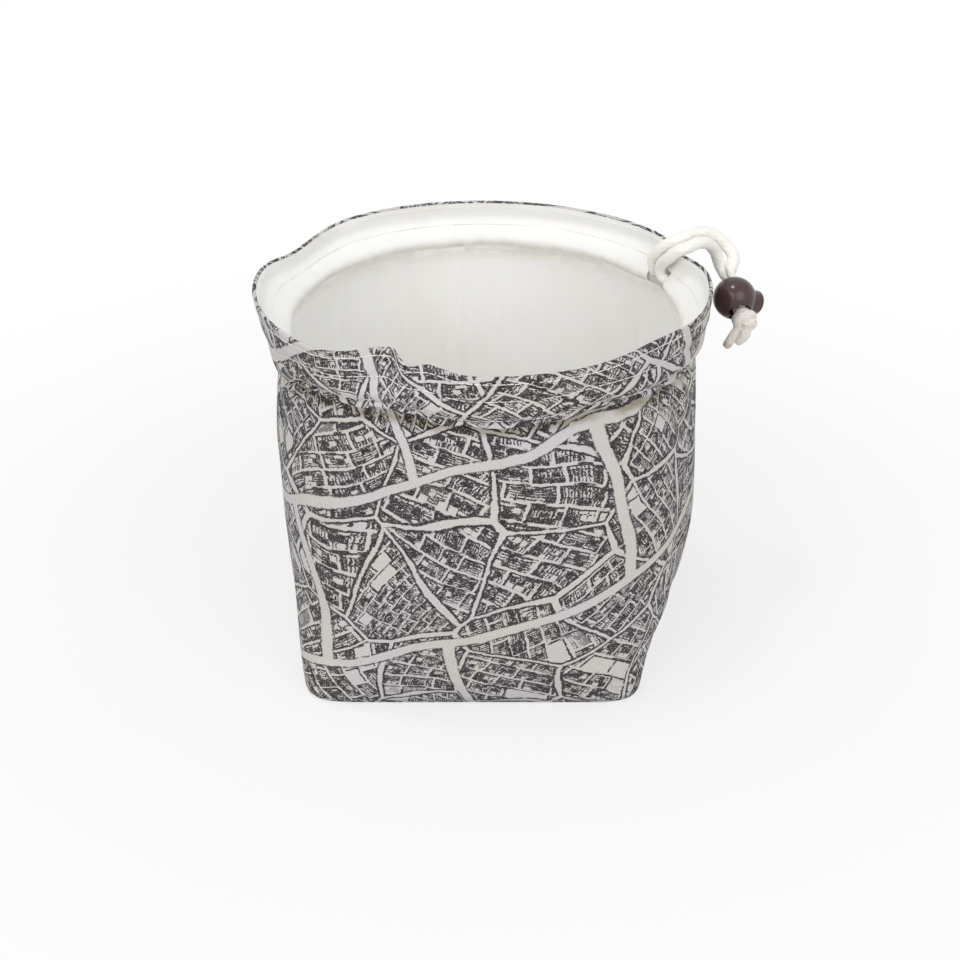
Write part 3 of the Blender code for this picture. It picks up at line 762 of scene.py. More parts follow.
def patches(tree, vector, size, low, high, detail=3.0, rough=0.6):
    """Patches of noise, with soft edges where it goes from low to high."""
    return ramp(tree, noise(tree, vector, size, detail, rough), low, high)


def vector_maths(tree, operation, first, second, output=0):
    node = add_node(tree, "ShaderNodeVectorMath", {0: first, 1: second}, operation=operation)
    return node.outputs[output]


def parts_of(tree, value):
    """The three numbers of a vector or colour."""
    return add_node(tree, "ShaderNodeSeparateXYZ", {0: value}).outputs


def rotated(tree, vector, angle):
    inputs = {"Vector": vector, "Angle": angle}
    return add_node(tree, "ShaderNodeVectorRotate", inputs, rotation_type="Z_AXIS").outputs[0]


def mixed(tree, share, first, second):
    node = add_node(tree, "ShaderNodeMix", {0: share, 6: first, 7: second}, data_type="RGBA")
    return node.outputs[2]


def rgba(colour, tone=1.0):
    """The colour times a tone, which is one number or one for each channel."""
    return (*np.multiply(colour[:3], tone), 1.0)


def cloth_uv(tree):
    return add_node(tree, "ShaderNodeUVMap", uv_map="cloth").outputs["UV"]


def object_place(tree):
    return add_node(tree, "ShaderNodeTexCoord").outputs["Object"]


def add_bump(tree, shader, height, strength, distance):
    inputs = {"Height": height, "Strength": strength, "Distance": distance}
    feed(tree, shader, {"Normal": add_node(tree, "ShaderNodeBump", inputs).outputs["Normal"]})


def weave_bump(tree, uv, shader, pitch, strength):
    """Plain weave: warp and weft threads that pass over each other."""
    ways = parts_of(tree, uv)[:2]
    warp, weft = (maths(tree, "SINE", maths(tree, "MULTIPLY", way, math.pi / pitch)) for way in ways)
    height = maths(tree, "MULTIPLY", warp, weft)
    slubs = noise(tree, uv, pitch * 6, 3.0, 0.6)
    add_bump(tree, shader, maths(tree, "MULTIPLY_ADD", slubs, 1.2, height), strength, pitch * 0.35)


def plots_of(tree, vector, width, height, lane, offset=0.5, squash=1.0):
    """Rows of rectangular plots with lanes between them: the lanes' mask and each plot's tint."""
    node = add_node(
        tree,
        "ShaderNodeTexBrick",
        {
            "Vector": vector,
            "Color1": (0, 0, 0, 1),
            "Color2": (1, 1, 1, 1),
            "Mortar": (0, 0, 0, 1),
            "Scale": 1000.0,
            "Mortar Size": lane / 2 * 1000,
            "Mortar Smooth": 0.25,
            "Bias": 0.0,
            "Brick Width": width * 1000,
            "Row Height": height * 1000,
        },
        offset=offset,
        squash=squash,
        squash_frequency=2,
        offset_frequency=2,
    )
    return node.outputs["Fac"], node.outputs["Color"]


def inverse(tree, value):
    return maths(tree, "SUBTRACT", 1.0, value, clamp=True)


def both(tree, first, *others):
    """Where all these masks are 1."""
    for other in others:
        first = maths(tree, "MULTIPLY", first, other)
    return first


def either(tree, first, *others):
    """Where one of these masks is 1."""
    for other in others:
        first = maths(tree, "MAXIMUM", first, other)
    return first


def strokes_of(tree, position, uv, spacing, share):
    """Broken, shaky strokes of ink across this position, of which share is ink."""
    shaky = maths(tree, "MULTIPLY", noise(tree, uv, spacing * 2.5, 2.0, 0.6), 6.0)
    phase = maths(tree, "ADD", maths(tree, "MULTIPLY", position, 2 * math.pi / spacing), shaky)
    stroke = maths(tree, "SINE", phase)
    rough = maths(tree, "SUBTRACT", noise(tree, uv, spacing * 0.7, 3.0, 0.75), 0.5)
    stroke = maths(tree, "ADD", stroke, maths(tree, "MULTIPLY", rough, 4.5))
    limit = maths(tree, "SUBTRACT", 1.0, maths(tree, "MULTIPLY", share, 2.0))
    return ramp(tree, maths(tree, "SUBTRACT", stroke, limit), -0.2, 0.2)


def printed_cotton(hem):
    """Pale lanes between patches of small plots, filled with strokes, dabs and outlines of ink.

    hem is how far down the cloth the painted shade under the band's hem lies.
    """
    mat, tree, shader = new_material("printed cotton", 0.9, 0.04)
    uv = cloth_uv(tree)
    plot, lane = look().plot, look().lane
    drawn = uv
    for size, reach, detail in DRIFTS:
        drift = noise(tree, uv, size, detail, 0.6, "Color")
        drift = vector_maths(tree, "SUBTRACT", drift, (0.5, 0.5, 0.5))
        drift = vector_maths(tree, "MULTIPLY", drift, (reach, reach, 0.0))
        drawn = vector_maths(tree, "ADD", drawn, drift)

    bent = rotated(tree, drawn, ROAD_TURN)
    road, _ = plots_of(tree, bent, *ROADS_APART, lane, 0.42)
    roadside, _ = plots_of(tree, bent, *ROADS_APART, lane + 0.0018, 0.42)
    roadside = both(tree, roadside, patches(tree, uv, 0.0024, 0.42, 0.50, rough=0.7))

    patch = PATCH_SHARE * plot
    scaled = vector_maths(tree, "MULTIPLY", drawn, (1 / patch, 1.15 / patch, 0.0))
    inputs = {"Vector": scaled, "Scale": 1.0, "Randomness": 0.9}
    settings = {"voronoi_dimensions": "2D"}
    nearest = add_node(tree, "ShaderNodeTexVoronoi", inputs, **settings)
    edge = add_node(tree, "ShaderNodeTexVoronoi", inputs, feature="DISTANCE_TO_EDGE", **settings)
    edge = edge.outputs["Distance"]
    broad = patches(tree, uv, 0.030, 0.46, 0.64, 1.0, 0.5)
    broad = maths(tree, "MULTIPLY_ADD", broad, 0.0007 / patch, 0.00045 / patch)
    off_lane = ramp(tree, maths(tree, "SUBTRACT", edge, broad), 0.0, 0.0003 / patch)
    kerb = maths(tree, "SUBTRACT", edge, maths(tree, "ADD", broad, 0.0009 / patch))
    kerb = inverse(tree, ramp(tree, kerb, 0.0, 0.0004 / patch))

    tint = parts_of(tree, nearest.outputs["Color"])
    angle = maths(tree, "MULTIPLY", maths(tree, "SUBTRACT", tint[0], 0.5), 2.3)
    stretch = maths(tree, "MULTIPLY_ADD", tint[1], 0.65, 0.72)
    inputs = {0: rotated(tree, drawn, angle), "Scale": stretch}
    tilted = add_node(tree, "ShaderNodeVectorMath", inputs, operation="SCALE").outputs[0]
    sizes = [plot * share for share in PLOT_SHARES]
    lanes, plot_tint = plots_of(tree, tilted, *sizes, 0.0011, 0.37, 1.4)
    lanes = both(tree, lanes, patches(tree, uv, 0.011, 0.40, 0.45, 1.0, 0.5))
    behind = vector_maths(tree, "ADD", tilted, (0.0007, 0.0005, 0.0))
    shadow, _ = plots_of(tree, behind, *sizes, 0.0014, 0.37, 1.4)
    shadow = both(tree, shadow, patches(tree, uv, 0.0034, 0.34, 0.44))
    walls, yard_tint = plots_of(tree, tilted, *(plot * share for share in YARD_SHARES), 0.00055, 0.3, 0.7)
    plot_tint, yard_tint = parts_of(tree, plot_tint)[0], parts_of(tree, yard_tint)[0]

    share = maths(tree, "MULTIPLY_ADD", yard_tint, 0.75, 0.24)
    ways = parts_of(tree, tilted)
    across = strokes_of(tree, ways[0], uv, 0.00105, share)
    along_it = strokes_of(tree, ways[1], uv, 0.00095, share)
    turn = ramp(tree, plot_tint, 0.48, 0.52)
    strokes = either(tree, both(tree, across, turn), both(tree, along_it, inverse(tree, turn)))
    patchy = noise(tree, uv, 0.0042, 3.0, 0.6)
    dark = ramp(tree, maths(tree, "MULTIPLY_ADD", patchy, 0.9, yard_tint), 0.98, 1.08)
    dark = both(tree, dark, patches(tree, uv, 0.0009, 0.36, 0.44, rough=0.7))
    bare = ramp(tree, maths(tree, "MULTIPLY_ADD", patchy, 0.5, yard_tint), 0.36, 0.40)
    broken = patches(tree, uv, 0.0013, 0.40, 0.47, rough=0.65)
    ink = either(tree, both(tree, strokes, bare), dark, both(tree, walls, broken), shadow)
    ink = either(tree, both(tree, ink, ramp(tree, plot_tint, 0.07, 0.10)), shadow)
    kerb = both(tree, kerb, patches(tree, uv, 0.0034, 0.34, 0.44))
    ink = either(tree, both(tree, ink, inverse(tree, lanes)), kerb)
    ink = either(tree, both(tree, ink, off_lane), roadside)
    ink = both(tree, ink, inverse(tree, road), patches(tree, uv, 0.0006, 0.24, 0.44, 2.0))

    warm = rgba(colours().ground, (1.02, 1.01, 0.92))
    ground = mixed(tree, patches(tree, uv, 0.038, 0.38, 0.66, 2.0, 0.5), rgba(colours().ground), warm)
    paler = rgba(colours().ink, 2.4)
    inked = mixed(tree, patches(tree, uv, 0.0022, 0.30, 0.75), rgba(colours().ink), paler)
    reverse = add_node(tree, "ShaderNodeNewGeometry").outputs["Backfacing"]
    ink = both(tree, ink, maths(tree, "MULTIPLY_ADD", reverse, -0.9, 1.0))
    printed = mixed(tree, ink, ground, inked)
    # Painted shade: a dark, yellowish line on the wall just under the band's hem, where the hem's overhang
    # would shade it.
    feed(tree, shader, {"Base Color": with_painted_shade(tree, uv, printed, hem, 0.0032, (0.62, 0.57, 0.46))})
    weave_bump(tree, uv, shader, look().weave, 0.35)
    return mat


def with_painted_shade(tree, uv, colour, at, reach, tone):
    """The colour with an uneven line of painted shade across the cloth, at this distance down it."""
    uneven = maths(tree, "SUBTRACT", noise(tree, uv, 0.006, 2.0, 0.6), 0.5)
    uneven = maths(tree, "MULTIPLY_ADD", uneven, reach * 0.8, parts_of(tree, uv)[1])
    away = maths(tree, "ABSOLUTE", maths(tree, "SUBTRACT", uneven, at))
    depth = ramp(tree, away, 0.0, reach, rising=False)
    depth = both(tree, depth, patches(tree, uv, 0.010, 0.25, 0.60, 2.0))
    inputs = {0: depth, 6: colour, 7: rgba(tone)}
    return add_node(tree, "ShaderNodeMix", inputs, data_type="RGBA", blend_type="MULTIPLY").outputs[2]


def plain_cotton(name, tone, painted_shade_at):
    """Cream plain weave with faint flecks, this tone of the lining's colour, and a line of painted shade at
    the given distance down the cloth.
    """
    mat, tree, shader = new_material(name, 0.9, 0.35)
    colour = colours().lining
    uv = cloth_uv(tree)
    shaded = rgba(colour, np.multiply(tone, (0.985, 0.98, 0.965)))
    blend = mixed(tree, patches(tree, uv, 0.045, 0.35, 0.7, 2.0, 0.5), rgba(colour, tone), shaded)
    flecks = maths(tree, "MULTIPLY", patches(tree, uv, 0.0009, 0.70, 0.76, 2.0, 0.5), 0.6)
    plain = mixed(tree, flecks, blend, rgba(colour, tone * 0.95))
    # Painted shade: a faint yellowish line of shade across the cloth.
    feed(tree, shader, {"Base Color": with_painted_shade(tree, uv, plain, painted_shade_at, 0.0045, (0.93, 0.915, 0.85))})
    weave_bump(tree, uv, shader, look().weave * 0.8, 0.25)
    return mat


def braided_cotton(name, tone, shade):
    """Cotton cord: two sets of yarns that cross over and under round the cord."""
    mat, tree, shader = new_material(name, 0.9, 0.1)
    uv = cloth_uv(tree)
    ways = parts_of(tree, uv)
    round_way = maths(tree, "MULTIPLY", ways[0], 2 * math.pi * 6)
    length_way = maths(tree, "MULTIPLY", ways[1], 2 * math.pi / 0.0042)
    left = maths(tree, "SINE", maths(tree, "ADD", round_way, length_way))
    right = maths(tree, "SINE", maths(tree, "SUBTRACT", round_way, length_way))
    fine = noise(tree, uv, 0.0006, 2.0, 0.6)
    height = maths(tree, "MULTIPLY_ADD", fine, 0.5, maths(tree, "MAXIMUM", left, right))
    yarn, groove = rgba(colours().cord, tone), rgba(colours().cord, np.multiply(tone, shade))
    feed(tree, shader, {"Base Color": mixed(tree, ramp(tree, height, -0.8, 0.4), groove, yarn)})
    add_bump(tree, shader, height, 0.35, 0.00030)
    return mat


def speckled(name, surface, grain, dark, light, bump=None):
    """A material between two colours.

    surface is its roughness and sheen, grain the size, detail and roughness of its noise, and
    bump the strength and distance of its relief.
    """
    mat, tree, shader = new_material(name, *surface)
    grain = noise(tree, object_place(tree), *grain)
    feed(tree, shader, {"Base Color": mixed(tree, grain, rgba(dark), rgba(light))})
    if bump:
        add_bump(tree, shader, grain, *bump)
    return mat


def sealed_end():
    """The melted and dipped tip of the cord."""
    grain, dark, light = (0.0014, 3.0, 0.6), (0.50, 0.36, 0.26), (0.78, 0.68, 0.56)
    return speckled("sealed cord end", (0.55,), grain, dark, light, (0.5, 0.0003))


def channel_cord():
    """The cord inside the channel, which has no UV map."""
    cord = colours().cord
    grain = (0.0012, 3.0, 0.6)
    return speckled("cord in the channel", (0.9, 0.1), grain, rgba(cord, 0.88), cord, (0.6, 0.0004))


def moulded_plastic():
    """Dark brown moulded plastic with a faint cloudiness and fine scuffs."""
    mat, tree, shader = new_material("brown plastic", 0.33)
    place = object_place(tree)
    clouds, scuffs = noise(tree, place, 0.006, 3.0, 0.5), noise(tree, place, 0.0008, 3.0, 0.6)
    redder = rgba(colours().lock, (1.35, 1.15, 1.15))
    feed(tree, shader, {"Base Color": mixed(tree, clouds, rgba(colours().lock), redder)})
    feed(tree, shader, {"Roughness": maths(tree, "MULTIPLY_ADD", scuffs, 0.10, 0.15)})
    add_bump(tree, shader, scuffs, 0.05, 0.0002)
    return mat


def sewing_thread():
    grain, dark, light = (0.0004, 2.0, 0.5), (0.80, 0.78, 0.74), (0.92, 0.90, 0.87)
    return speckled("sewing thread", (0.6, 0.2), grain, dark, light)


def spring_steel():
    mat = speckled("spring steel", (0.3,), (0.0005, 2.0, 0.5), (0.50, 0.50, 0.51), (0.62, 0.62, 0.63))
    mat.node_tree.nodes["Principled BSDF"].inputs["Metallic"].default_value = 1.0
    return mat


def smooth_route(points, spacing):
    """Points evenly spaced on a smooth curve through the given ones, and their lengths along it."""
    knots = np.array([tuple(p) for p in points], float)
    ends = np.concatenate([[2 * knots[0] - knots[1]], knots, [2 * knots[-1] - knots[-2]]])
    fine = []
    for a, b, c, d in zip(ends, ends[1:], ends[2:], ends[3:]):
        for t in np.linspace(0, 1, 24, endpoint=False):
            square, cube = 2 * a - 5 * b + 4 * c - d, 3 * b - a - 3 * c + d
            fine.append(0.5 * (2 * b + (c - a) * t + square * t**2 + cube * t**3))
    fine = np.array([*fine, knots[-1]])
    lengths = lengths_along(fine)
    wanted = np.linspace(0, lengths[-1], max(3, round(lengths[-1] / spacing) + 1))
    return points_at(wanted, lengths, fine), wanted


def cord_mesh(name, line, radii, mat, sides=24, lay=0.0, round_end=False):
    """A round cord along the line, with the UV map in turns and metres. lay shapes its plies."""
    mesh = bmesh.new()
    uv = mesh.loops.layers.uv.new("cloth")
    at = lengths_along(line)
    tangents = np.gradient(line, axis=0)
    tangents /= np.linalg.norm(tangents, axis=1)[:, None]
    side = np.cross(tangents[0], (0.31, 0.52, 0.79))
    rings, centres, sizes, places, ways = [], list(line), list(radii), list(at), list(tangents)
    if round_end:
        for turn in (25, 50, 72):
            centres.append(line[-1] + tangents[-1] * radii[-1] * 0.7 * math.sin(math.radians(turn)))
            sizes.append(radii[-1] * math.cos(math.radians(turn)))
            places.append(at[-1] + radii[-1] * math.sin(math.radians(turn)))
            ways.append(tangents[-1])
    for centre, size, place, way in zip(centres, sizes, places, ways):
        side = side - way * (side @ way)
        side /= np.linalg.norm(side)
        up = np.cross(way, side)
        ring_verts = []
        for k in range(sides):
            turn = 2 * math.pi * k / sides
            plump = 1 + lay * math.cos(3 * turn + 2 * math.pi * place / 0.011)
            point = centre + (side * math.cos(turn) + up * math.sin(turn)) * size * plump
            ring_verts.append(mesh.verts.new(point))
        rings.append(ring_verts)
    for r in range(len(rings) - 1):
        for k in range(sides):
            m = (k + 1) % sides
            face = mesh.faces.new((rings[r][k], rings[r][m], rings[r + 1][m], rings[r + 1][k]))
            face.smooth = True
            for loop, turn, v in zip(face.loops, (k, k + 1, k + 1, k), (r, r, r + 1, r + 1)):
                loop[uv].uv = (turn / sides, places[v])
    mesh.faces.new(rings[0][::-1])
    mesh.faces.new(rings[-1])
    return object_from(name, mesh, mat)


def channel_middle(angle):
    """The middle of the channel, half way between the print and the facing."""
    print_side = outer_band_offset(CORD_SHARE) - OUTER_CLOTH
    facing_side = facing_band_offset(CORD_SHARE) + LINING_CLOTH
    return band_curve(angle, CORD_SHARE, (print_side + facing_side) / 2)


def opening_side(side, away):
    """The angle of a place this far outside one end of the channel's opening."""
    return NOTCH_ANGLE + side * (NOTCH_LENGTH / 2 + away) / SECTIONS[-1].right


def strand_line(side, route):
    """The strand's line from the channel to the knot, its radii and its length."""
    inside = [opening_side(side, away) for away in (CORD_TURN - CORD_END_GAP, CORD_TURN / 2, 0.0)]
    start = channel_middle(np.array(inside))
    shift = LOCK_TURN @ Vector((STRAND_SHIFT, side * STRAND_SPACING / 2, 0))
    stations = (-STRAIGHT_FROM, -BALL_RADIUS, 0.0, STRAND_END)
    straight = [LOCK_CENTRE + shift + CORD_AXIS * d for d in stations]
    points = [*start, *(RIM_RIGHT + Vector(p) for p in route), *straight]
    line, _ = smooth_route(points, 0.0008)
    for _ in range(8):
        line[1:-1] = 0.25 * line[:-2] + 0.5 * line[1:-1] + 0.25 * line[2:]
    at = lengths_along(line)
    thin, slack = STRAND_IN_LOCK / STRAND_DIAMETER, CORD_DIAMETER / STRAND_DIAMETER
    widening = eased(np.clip((at[-1] - at - SQUEEZED_FROM - STRAND_END) / STRAND_SWELL, 0.0, 1.0))
    loosening = np.clip(at / STRAND_LOOSE - 1.0, 0.0, 1.0)
    radii = np.minimum(thin + (1 - thin) * widening, slack + (1 - slack) * loosening)
    return line, radii * STRAND_DIAMETER / 2, float(at[-1])


def stitches(name, line, normals, mat):
    """Single stitches of thread along a line of points on the cloth, each one a short arch."""
    mesh = bmesh.new()
    at = lengths_along(line)
    pitch, length, radius = look().stitch_pitch, look().stitch_length, look().thread / 2
    turns = [2 * math.pi * i / STITCH_SIDES for i in range(STITCH_SIDES)]
    rng = np.random.default_rng(len(name))
    for k in range(int(at[-1] / pitch)):
        middle = (k + 0.5) * pitch + rng.uniform(-0.06, 0.06) * pitch
        rings = []
        for share in (-1.0, -0.8, -0.4, 0.0, 0.4, 0.8, 1.0):
            place = middle + share * length / 2
            point, normal = points_at(place, at, line), points_at(place, at, normals)
            ahead = points_at(place + 0.0005, at, line) - point
            ahead /= np.linalg.norm(ahead) + 1e-12
            across = np.cross(ahead, normal)
            centre = point + normal * radius * (0.75 * (1 - abs(share) ** 3) - 0.35)
            size = radius * (0.45 if abs(share) == 1.0 else 1.0)
            ways = [across * math.cos(t) + normal * math.sin(t) for t in turns]
            rings.append([mesh.verts.new(centre + way * size) for way in ways])
        for a, b in zip(rings, rings[1:]):
            for i in range(STITCH_SIDES):
                j = (i + 1) % STITCH_SIDES
                mesh.faces.new((a[i], b[i], b[j], a[j])).smooth = True
        mesh.faces.new(rings[0])
        mesh.faces.new(rings[-1][::-1])
    bmesh.ops.recalc_face_normals(mesh, faces=mesh.faces)
    piece = object_from(name, mesh, mat)
    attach(piece, "pouch")


def turned(name, outline, segments=64):
    """A solid turned about Z from (radius, height) points."""
    mesh = bmesh.new()
    verts = [mesh.verts.new((r, 0.0, z)) for r, z in outline]
    edges = [mesh.edges.new(pair) for pair in zip(verts, verts[1:])]
    about = {"cent": (0, 0, 0), "axis": (0, 0, 1), "angle": 2 * math.pi}
    bmesh.ops.spin(mesh, geom=verts + edges, steps=segments, use_merge=True, **about)
    bmesh.ops.remove_doubles(mesh, verts=mesh.verts, dist=0.000005)
    bmesh.ops.recalc_face_normals(mesh, faces=mesh.faces)
    return object_from(name, mesh)


def merge(pieces):
    """Puts the meshes of the later pieces into the first."""
    mesh = bmesh.new()
    for piece in pieces:
        mesh.from_mesh(piece.data)
    mesh.to_mesh(pieces[0].data)
    mesh.free()
    for piece in pieces[1:]:
        bpy.data.objects.remove(piece)


def carve(piece, tools):
    """Cuts the tools out of the piece and keeps the result as its mesh."""
    for tool in tools:
        cut = piece.modifiers.new(tool.name, "BOOLEAN")
        cut.operation = "DIFFERENCE"
        cut.solver = "EXACT"
        cut.object = tool
    bpy.context.view_layer.update()
    result = bpy.data.meshes.new_from_object(piece.evaluated_get(bpy.context.evaluated_depsgraph_get()))
    piece.modifiers.clear()
    piece.data = result
    for tool in tools:
        bpy.data.objects.remove(tool)


def seat_in_lock(piece, mat):
    """Puts a piece made about the lock's own axes in its place."""
    piece.data.transform(LOCK_FRAME)
    piece.data.materials.clear()
    piece.data.materials.append(mat)
    piece.data.shade_smooth()
    piece.data.set_sharp_from_angle(angle=math.radians(35))


class POUCH_OT_stage(bpy.types.Operator):
    """Makes the camera, the floor and the light"""

    bl_idname = "pouch.stage"
    bl_label = "Stage"

    def execute(self, context):
        scene = context.scene
        stage = scene.pouch_stage
        camera = bpy.data.objects.new("camera", bpy.data.cameras.new("camera"))
        camera.data.lens = stage.lens
        camera.data.sensor_width = 36.0
        look_down = stage.elevation
        away = Vector((0.0, -math.cos(look_down), math.sin(look_down))) * stage.distance
        camera.location = LOOK_AT + away
        camera.rotation_euler = (math.pi / 2 - look_down, 0.0, 0.0)
        scene.collection.objects.link(camera)
        scene.camera = camera
        grid = bmesh.new()
        bmesh.ops.create_grid(grid, x_segments=2, y_segments=2, size=3.0)
        floor = object_from("floor", grid, white_floor())
        floor.location.z = -0.0002
        for name, place, size, share in LAMPS:
            lamp = bpy.data.objects.new(name, bpy.data.lights.new(name, "AREA"))
            lamp.data.size = size
            lamp.data.energy = stage.key * share
            lamp.location = place
            lamp.rotation_euler = (Vector((0, 0, 0.08)) - Vector(place)).to_track_quat("-Z", "Y").to_euler()
            scene.collection.objects.link(lamp)
        world = bpy.data.worlds.new("studio")
        world.use_nodes = True
        tree = world.node_tree
        rays = add_node(tree, "ShaderNodeLightPath").outputs
        seen = either(tree, rays["Is Camera Ray"], rays["Is Glossy Ray"], rays["Is Transmission Ray"])
        strength = maths(tree, "MULTIPLY_ADD", seen, 1.0 - stage.fill, stage.fill)
        feed(tree, tree.nodes["Background"], {"Color": (1, 1, 1, 1), "Strength": strength})
        scene.world = world
        scene.view_settings.view_transform = "Standard"
        return {"FINISHED"}


def white_floor():
    """A white floor that keeps a soft shadow near the pouch."""
    mat, tree, shader = new_material("white floor", 0.95)
    feed(tree, shader, {"Base Color": (0.82, 0.82, 0.82, 1), "Specular IOR Level": 0.1})
    glow = add_node(tree, "ShaderNodeEmission", {"Color": (1, 1, 1, 1), "Strength": 1.0})
    rays = add_node(tree, "ShaderNodeLightPath").outputs
    seen = either(tree, rays["Is Camera Ray"], rays["Is Glossy Ray"])
    away = ramp(tree, vector_maths(tree, "LENGTH", object_place(tree), (0, 0, 0), 1), 0.12, 0.42)
    share = both(tree, seen, maths(tree, "MULTIPLY_ADD", away, 0.30, 0.70))
    inputs = {0: share, 1: shader.outputs["BSDF"], 2: glow.outputs["Emission"]}
    blend = add_node(tree, "ShaderNodeMixShader", inputs)
    feed(tree, tree.nodes["Material Output"], {"Surface": blend.outputs["Shader"]})
    return mat


class POUCH_OT_drawstring(bpy.types.Operator):
    """Makes the drawstring's two free strands, their knot and the cut ends"""

    bl_idname = "pouch.drawstring"
    bl_label = "Drawstring"

    def execute(self, context):
        braid, sealed = braided_cotton("braided cotton", (1, 1, 1), (0.95, 0.94, 0.90)), sealed_end()
        worn = braided_cotton("handled cotton", (0.84, 0.80, 0.78), (0.90, 0.87, 0.84))
        knot = self.knot(worn)
        for name, side, route in (
            ("drawstring_front_strand", -1, FRONT_STRAND),
            ("drawstring_back_strand", 1, BACK_STRAND),
        ):
            line, radii, length = strand_line(side, route)
            piece = cord_mesh(f"{name}_braid", line, radii, braid, lay=0.035)
            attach(piece, "pouch")
            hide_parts(name)
        for name, route in (("drawstring_end_front", FRONT_TAIL), ("drawstring_end_back", BACK_TAIL)):
            inner = Vector(route[0]) * 0.5
            line, at = smooth_route([TAILS_FROM + Vector(p) + TAIL_SHIFT for p in (inner, *route)], 0.0005)
            radii = TAIL_DIAMETER / 2 * (1.06 - 0.16 * at / at[-1])
            piece = cord_mesh(f"{name}_cut", line, radii, worn, lay=0.03, round_end=True)
            piece.data.materials.append(sealed)
            end = Vector(line[-1])
            tip = (end - Vector(line[-6])).normalized()
            for face in piece.data.polygons:
                if (face.center - end).dot(tip) > -SEALED_TIP:
                    face.material_index = 1
            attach(piece, "pouch")
            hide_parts(name)
        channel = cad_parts["drawstring_in_casing"]
        channel.material_slots[0].material = channel_cord()
        return {"FINISHED"}

    def knot(self, mat):
        """A tight knot: two wraps round a core that leads from the lock to the cut ends."""
        wraps = []
        for share in np.linspace(0, 1, 121):
            turn = 2 * math.pi * (KNOT_TURNS * share + 0.52)
            ease = eased(min(1.0, share / 0.12, (1 - share) / 0.2))
            reach = KNOT_REACH * (0.3 + 0.7 * ease) * (1.08 - 0.30 * share)
            tilt = 0.0009 * share * math.cos(turn + 2.4)
            lift = KNOT_LENGTH * (share - 0.5) + tilt
            place = Vector((reach * math.cos(turn), reach * math.sin(turn), lift))
            wraps.append(KNOT_PLACE + LOCK_TURN @ place)
        line, _ = smooth_route(wraps, 0.0006)
        piece = cord_mesh("cord_knot_wraps", line, np.full(len(line), KNOT_CORD / 2), mat, lay=0.03)
        core = [CORD_AXIS * d for d in (-0.0050, -0.0025, 0.0, 0.0020)]
        core += [Vector((-0.0004, -0.0034, -0.0050)), Vector((-0.0026, -0.0036, -0.0078))]
        line, at = smooth_route([KNOT_PLACE + p for p in core], 0.0006)
        radii = np.interp(at / at[-1], (0, 0.2, 0.6, 1), (0.0032, 0.0030, 0.0026, 0.0017))
        filling = cord_mesh("knot_core", line, radii, mat, lay=0.03, round_end=True)
        merge([piece, filling])
        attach(piece, "pouch")
        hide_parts("cord_knot")
        return piece


class POUCH_OT_printed_cloth(bpy.types.Operator):
    """Makes the printed outer cloth: rim, band, wall and base"""

    bl_idname = "pouch.printed_cloth"
    bl_label = "Printed cloth"

    def execute(self, context):
        rows, base_from = printed_shell_rows()
        # The row where the painted shade under the band's hem lies.
        hem = lengths_down(rows)[UNDER_HEM_ROW]
        piece = cloth_object("printed_cloth", rows, printed_cotton(hem), base_from=base_from)
        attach(piece, "pouch")
        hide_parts("outer_front_panel", "outer_back_panel")
        return {"FINISHED"}


class POUCH_OT_lining(bpy.types.Operator):
    """Makes the lining and the facing with the drawstring's opening"""

    bl_idname = "pouch.lining"
    bl_label = "Lining"

    def execute(self, context):
        # The lining gets painted shade just under the facing's hem.
        cotton = plain_cotton("cream lining", 1.0, -0.0035)
        rows, base_from = lining_rows()
        lining = cloth_object("lining_cloth", rows, cotton, inner=True, base_from=base_from)
        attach(lining, "pouch")
        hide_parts("lining_front_panel", "lining_back_panel")
        rows, shares = facing_rows()
        angle = np.arctan2(rows[5][:, 1], rows[5][:, 0])
        reach = NOTCH_LENGTH / 2 / SECTIONS[-1].right

        def in_notch(r, c):
            return abs(angle[c] - NOTCH_ANGLE) < reach and 0.10 < shares[r] <= CHANNEL_SHARE

        # The facing is the lining's cream at 0.955, a darker copy painted as shade against the strong light on
        # the header, with painted shade near its hem.
        cotton = plain_cotton("cream facing", 0.955, lengths_down(rows)[BAND_ROWS - 2])
        facing = cloth_object("facing_cloth", rows, cotton, inner=True, skip=in_notch)
        away = np.abs(angle - NOTCH_ANGLE) / reach
        closing = np.clip((away - 0.8) / 0.3, 0, 1)[:, None]
        behind = []
        for share in np.linspace(CHANNEL_SHARE + 0.03, -0.02, 10):
            deep = ring(lambda a: band_curve(a, share, outer_band_offset(share) - LINING_FACE), 1.0)
            near = ring(lambda a: band_curve(a, share, facing_band_offset(max(share, 0.0)) + 0.0002), 1.0)
            behind.append(deep + (near - deep) * closing)
        backing = cloth_object("opening_backing", behind, cotton, inner=True, skip=lambda r, c: away[c] > 1.5)
        merge([facing, backing])
        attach(facing, "pouch")
        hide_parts("facing_band")
        return {"FINISHED"}


class POUCH_OT_topstitching(bpy.types.Operator):
    """Sews the rows of stitches through the band"""

    bl_idname = "pouch.topstitching"
    bl_label = "Topstitching"

    def execute(self, context):
        thread = sewing_thread()
        turn = np.linspace(0, 2 * math.pi, 1441)
        for name, share in (("rim", 0.895), ("channel", 0.515), ("neck", 0.075)):
            line = band_curve(turn, share, outer_band_offset(share) + 0.00005)
            stitches(f"print_stitches_{name}", line, outward(line), thread)
            line = band_curve(turn, share, facing_band_offset(share) - 0.00005)
            if name != "neck":
                stitches(f"lining_stitches_{name}", line, -outward(line), thread)
        return {"FINISHED"}


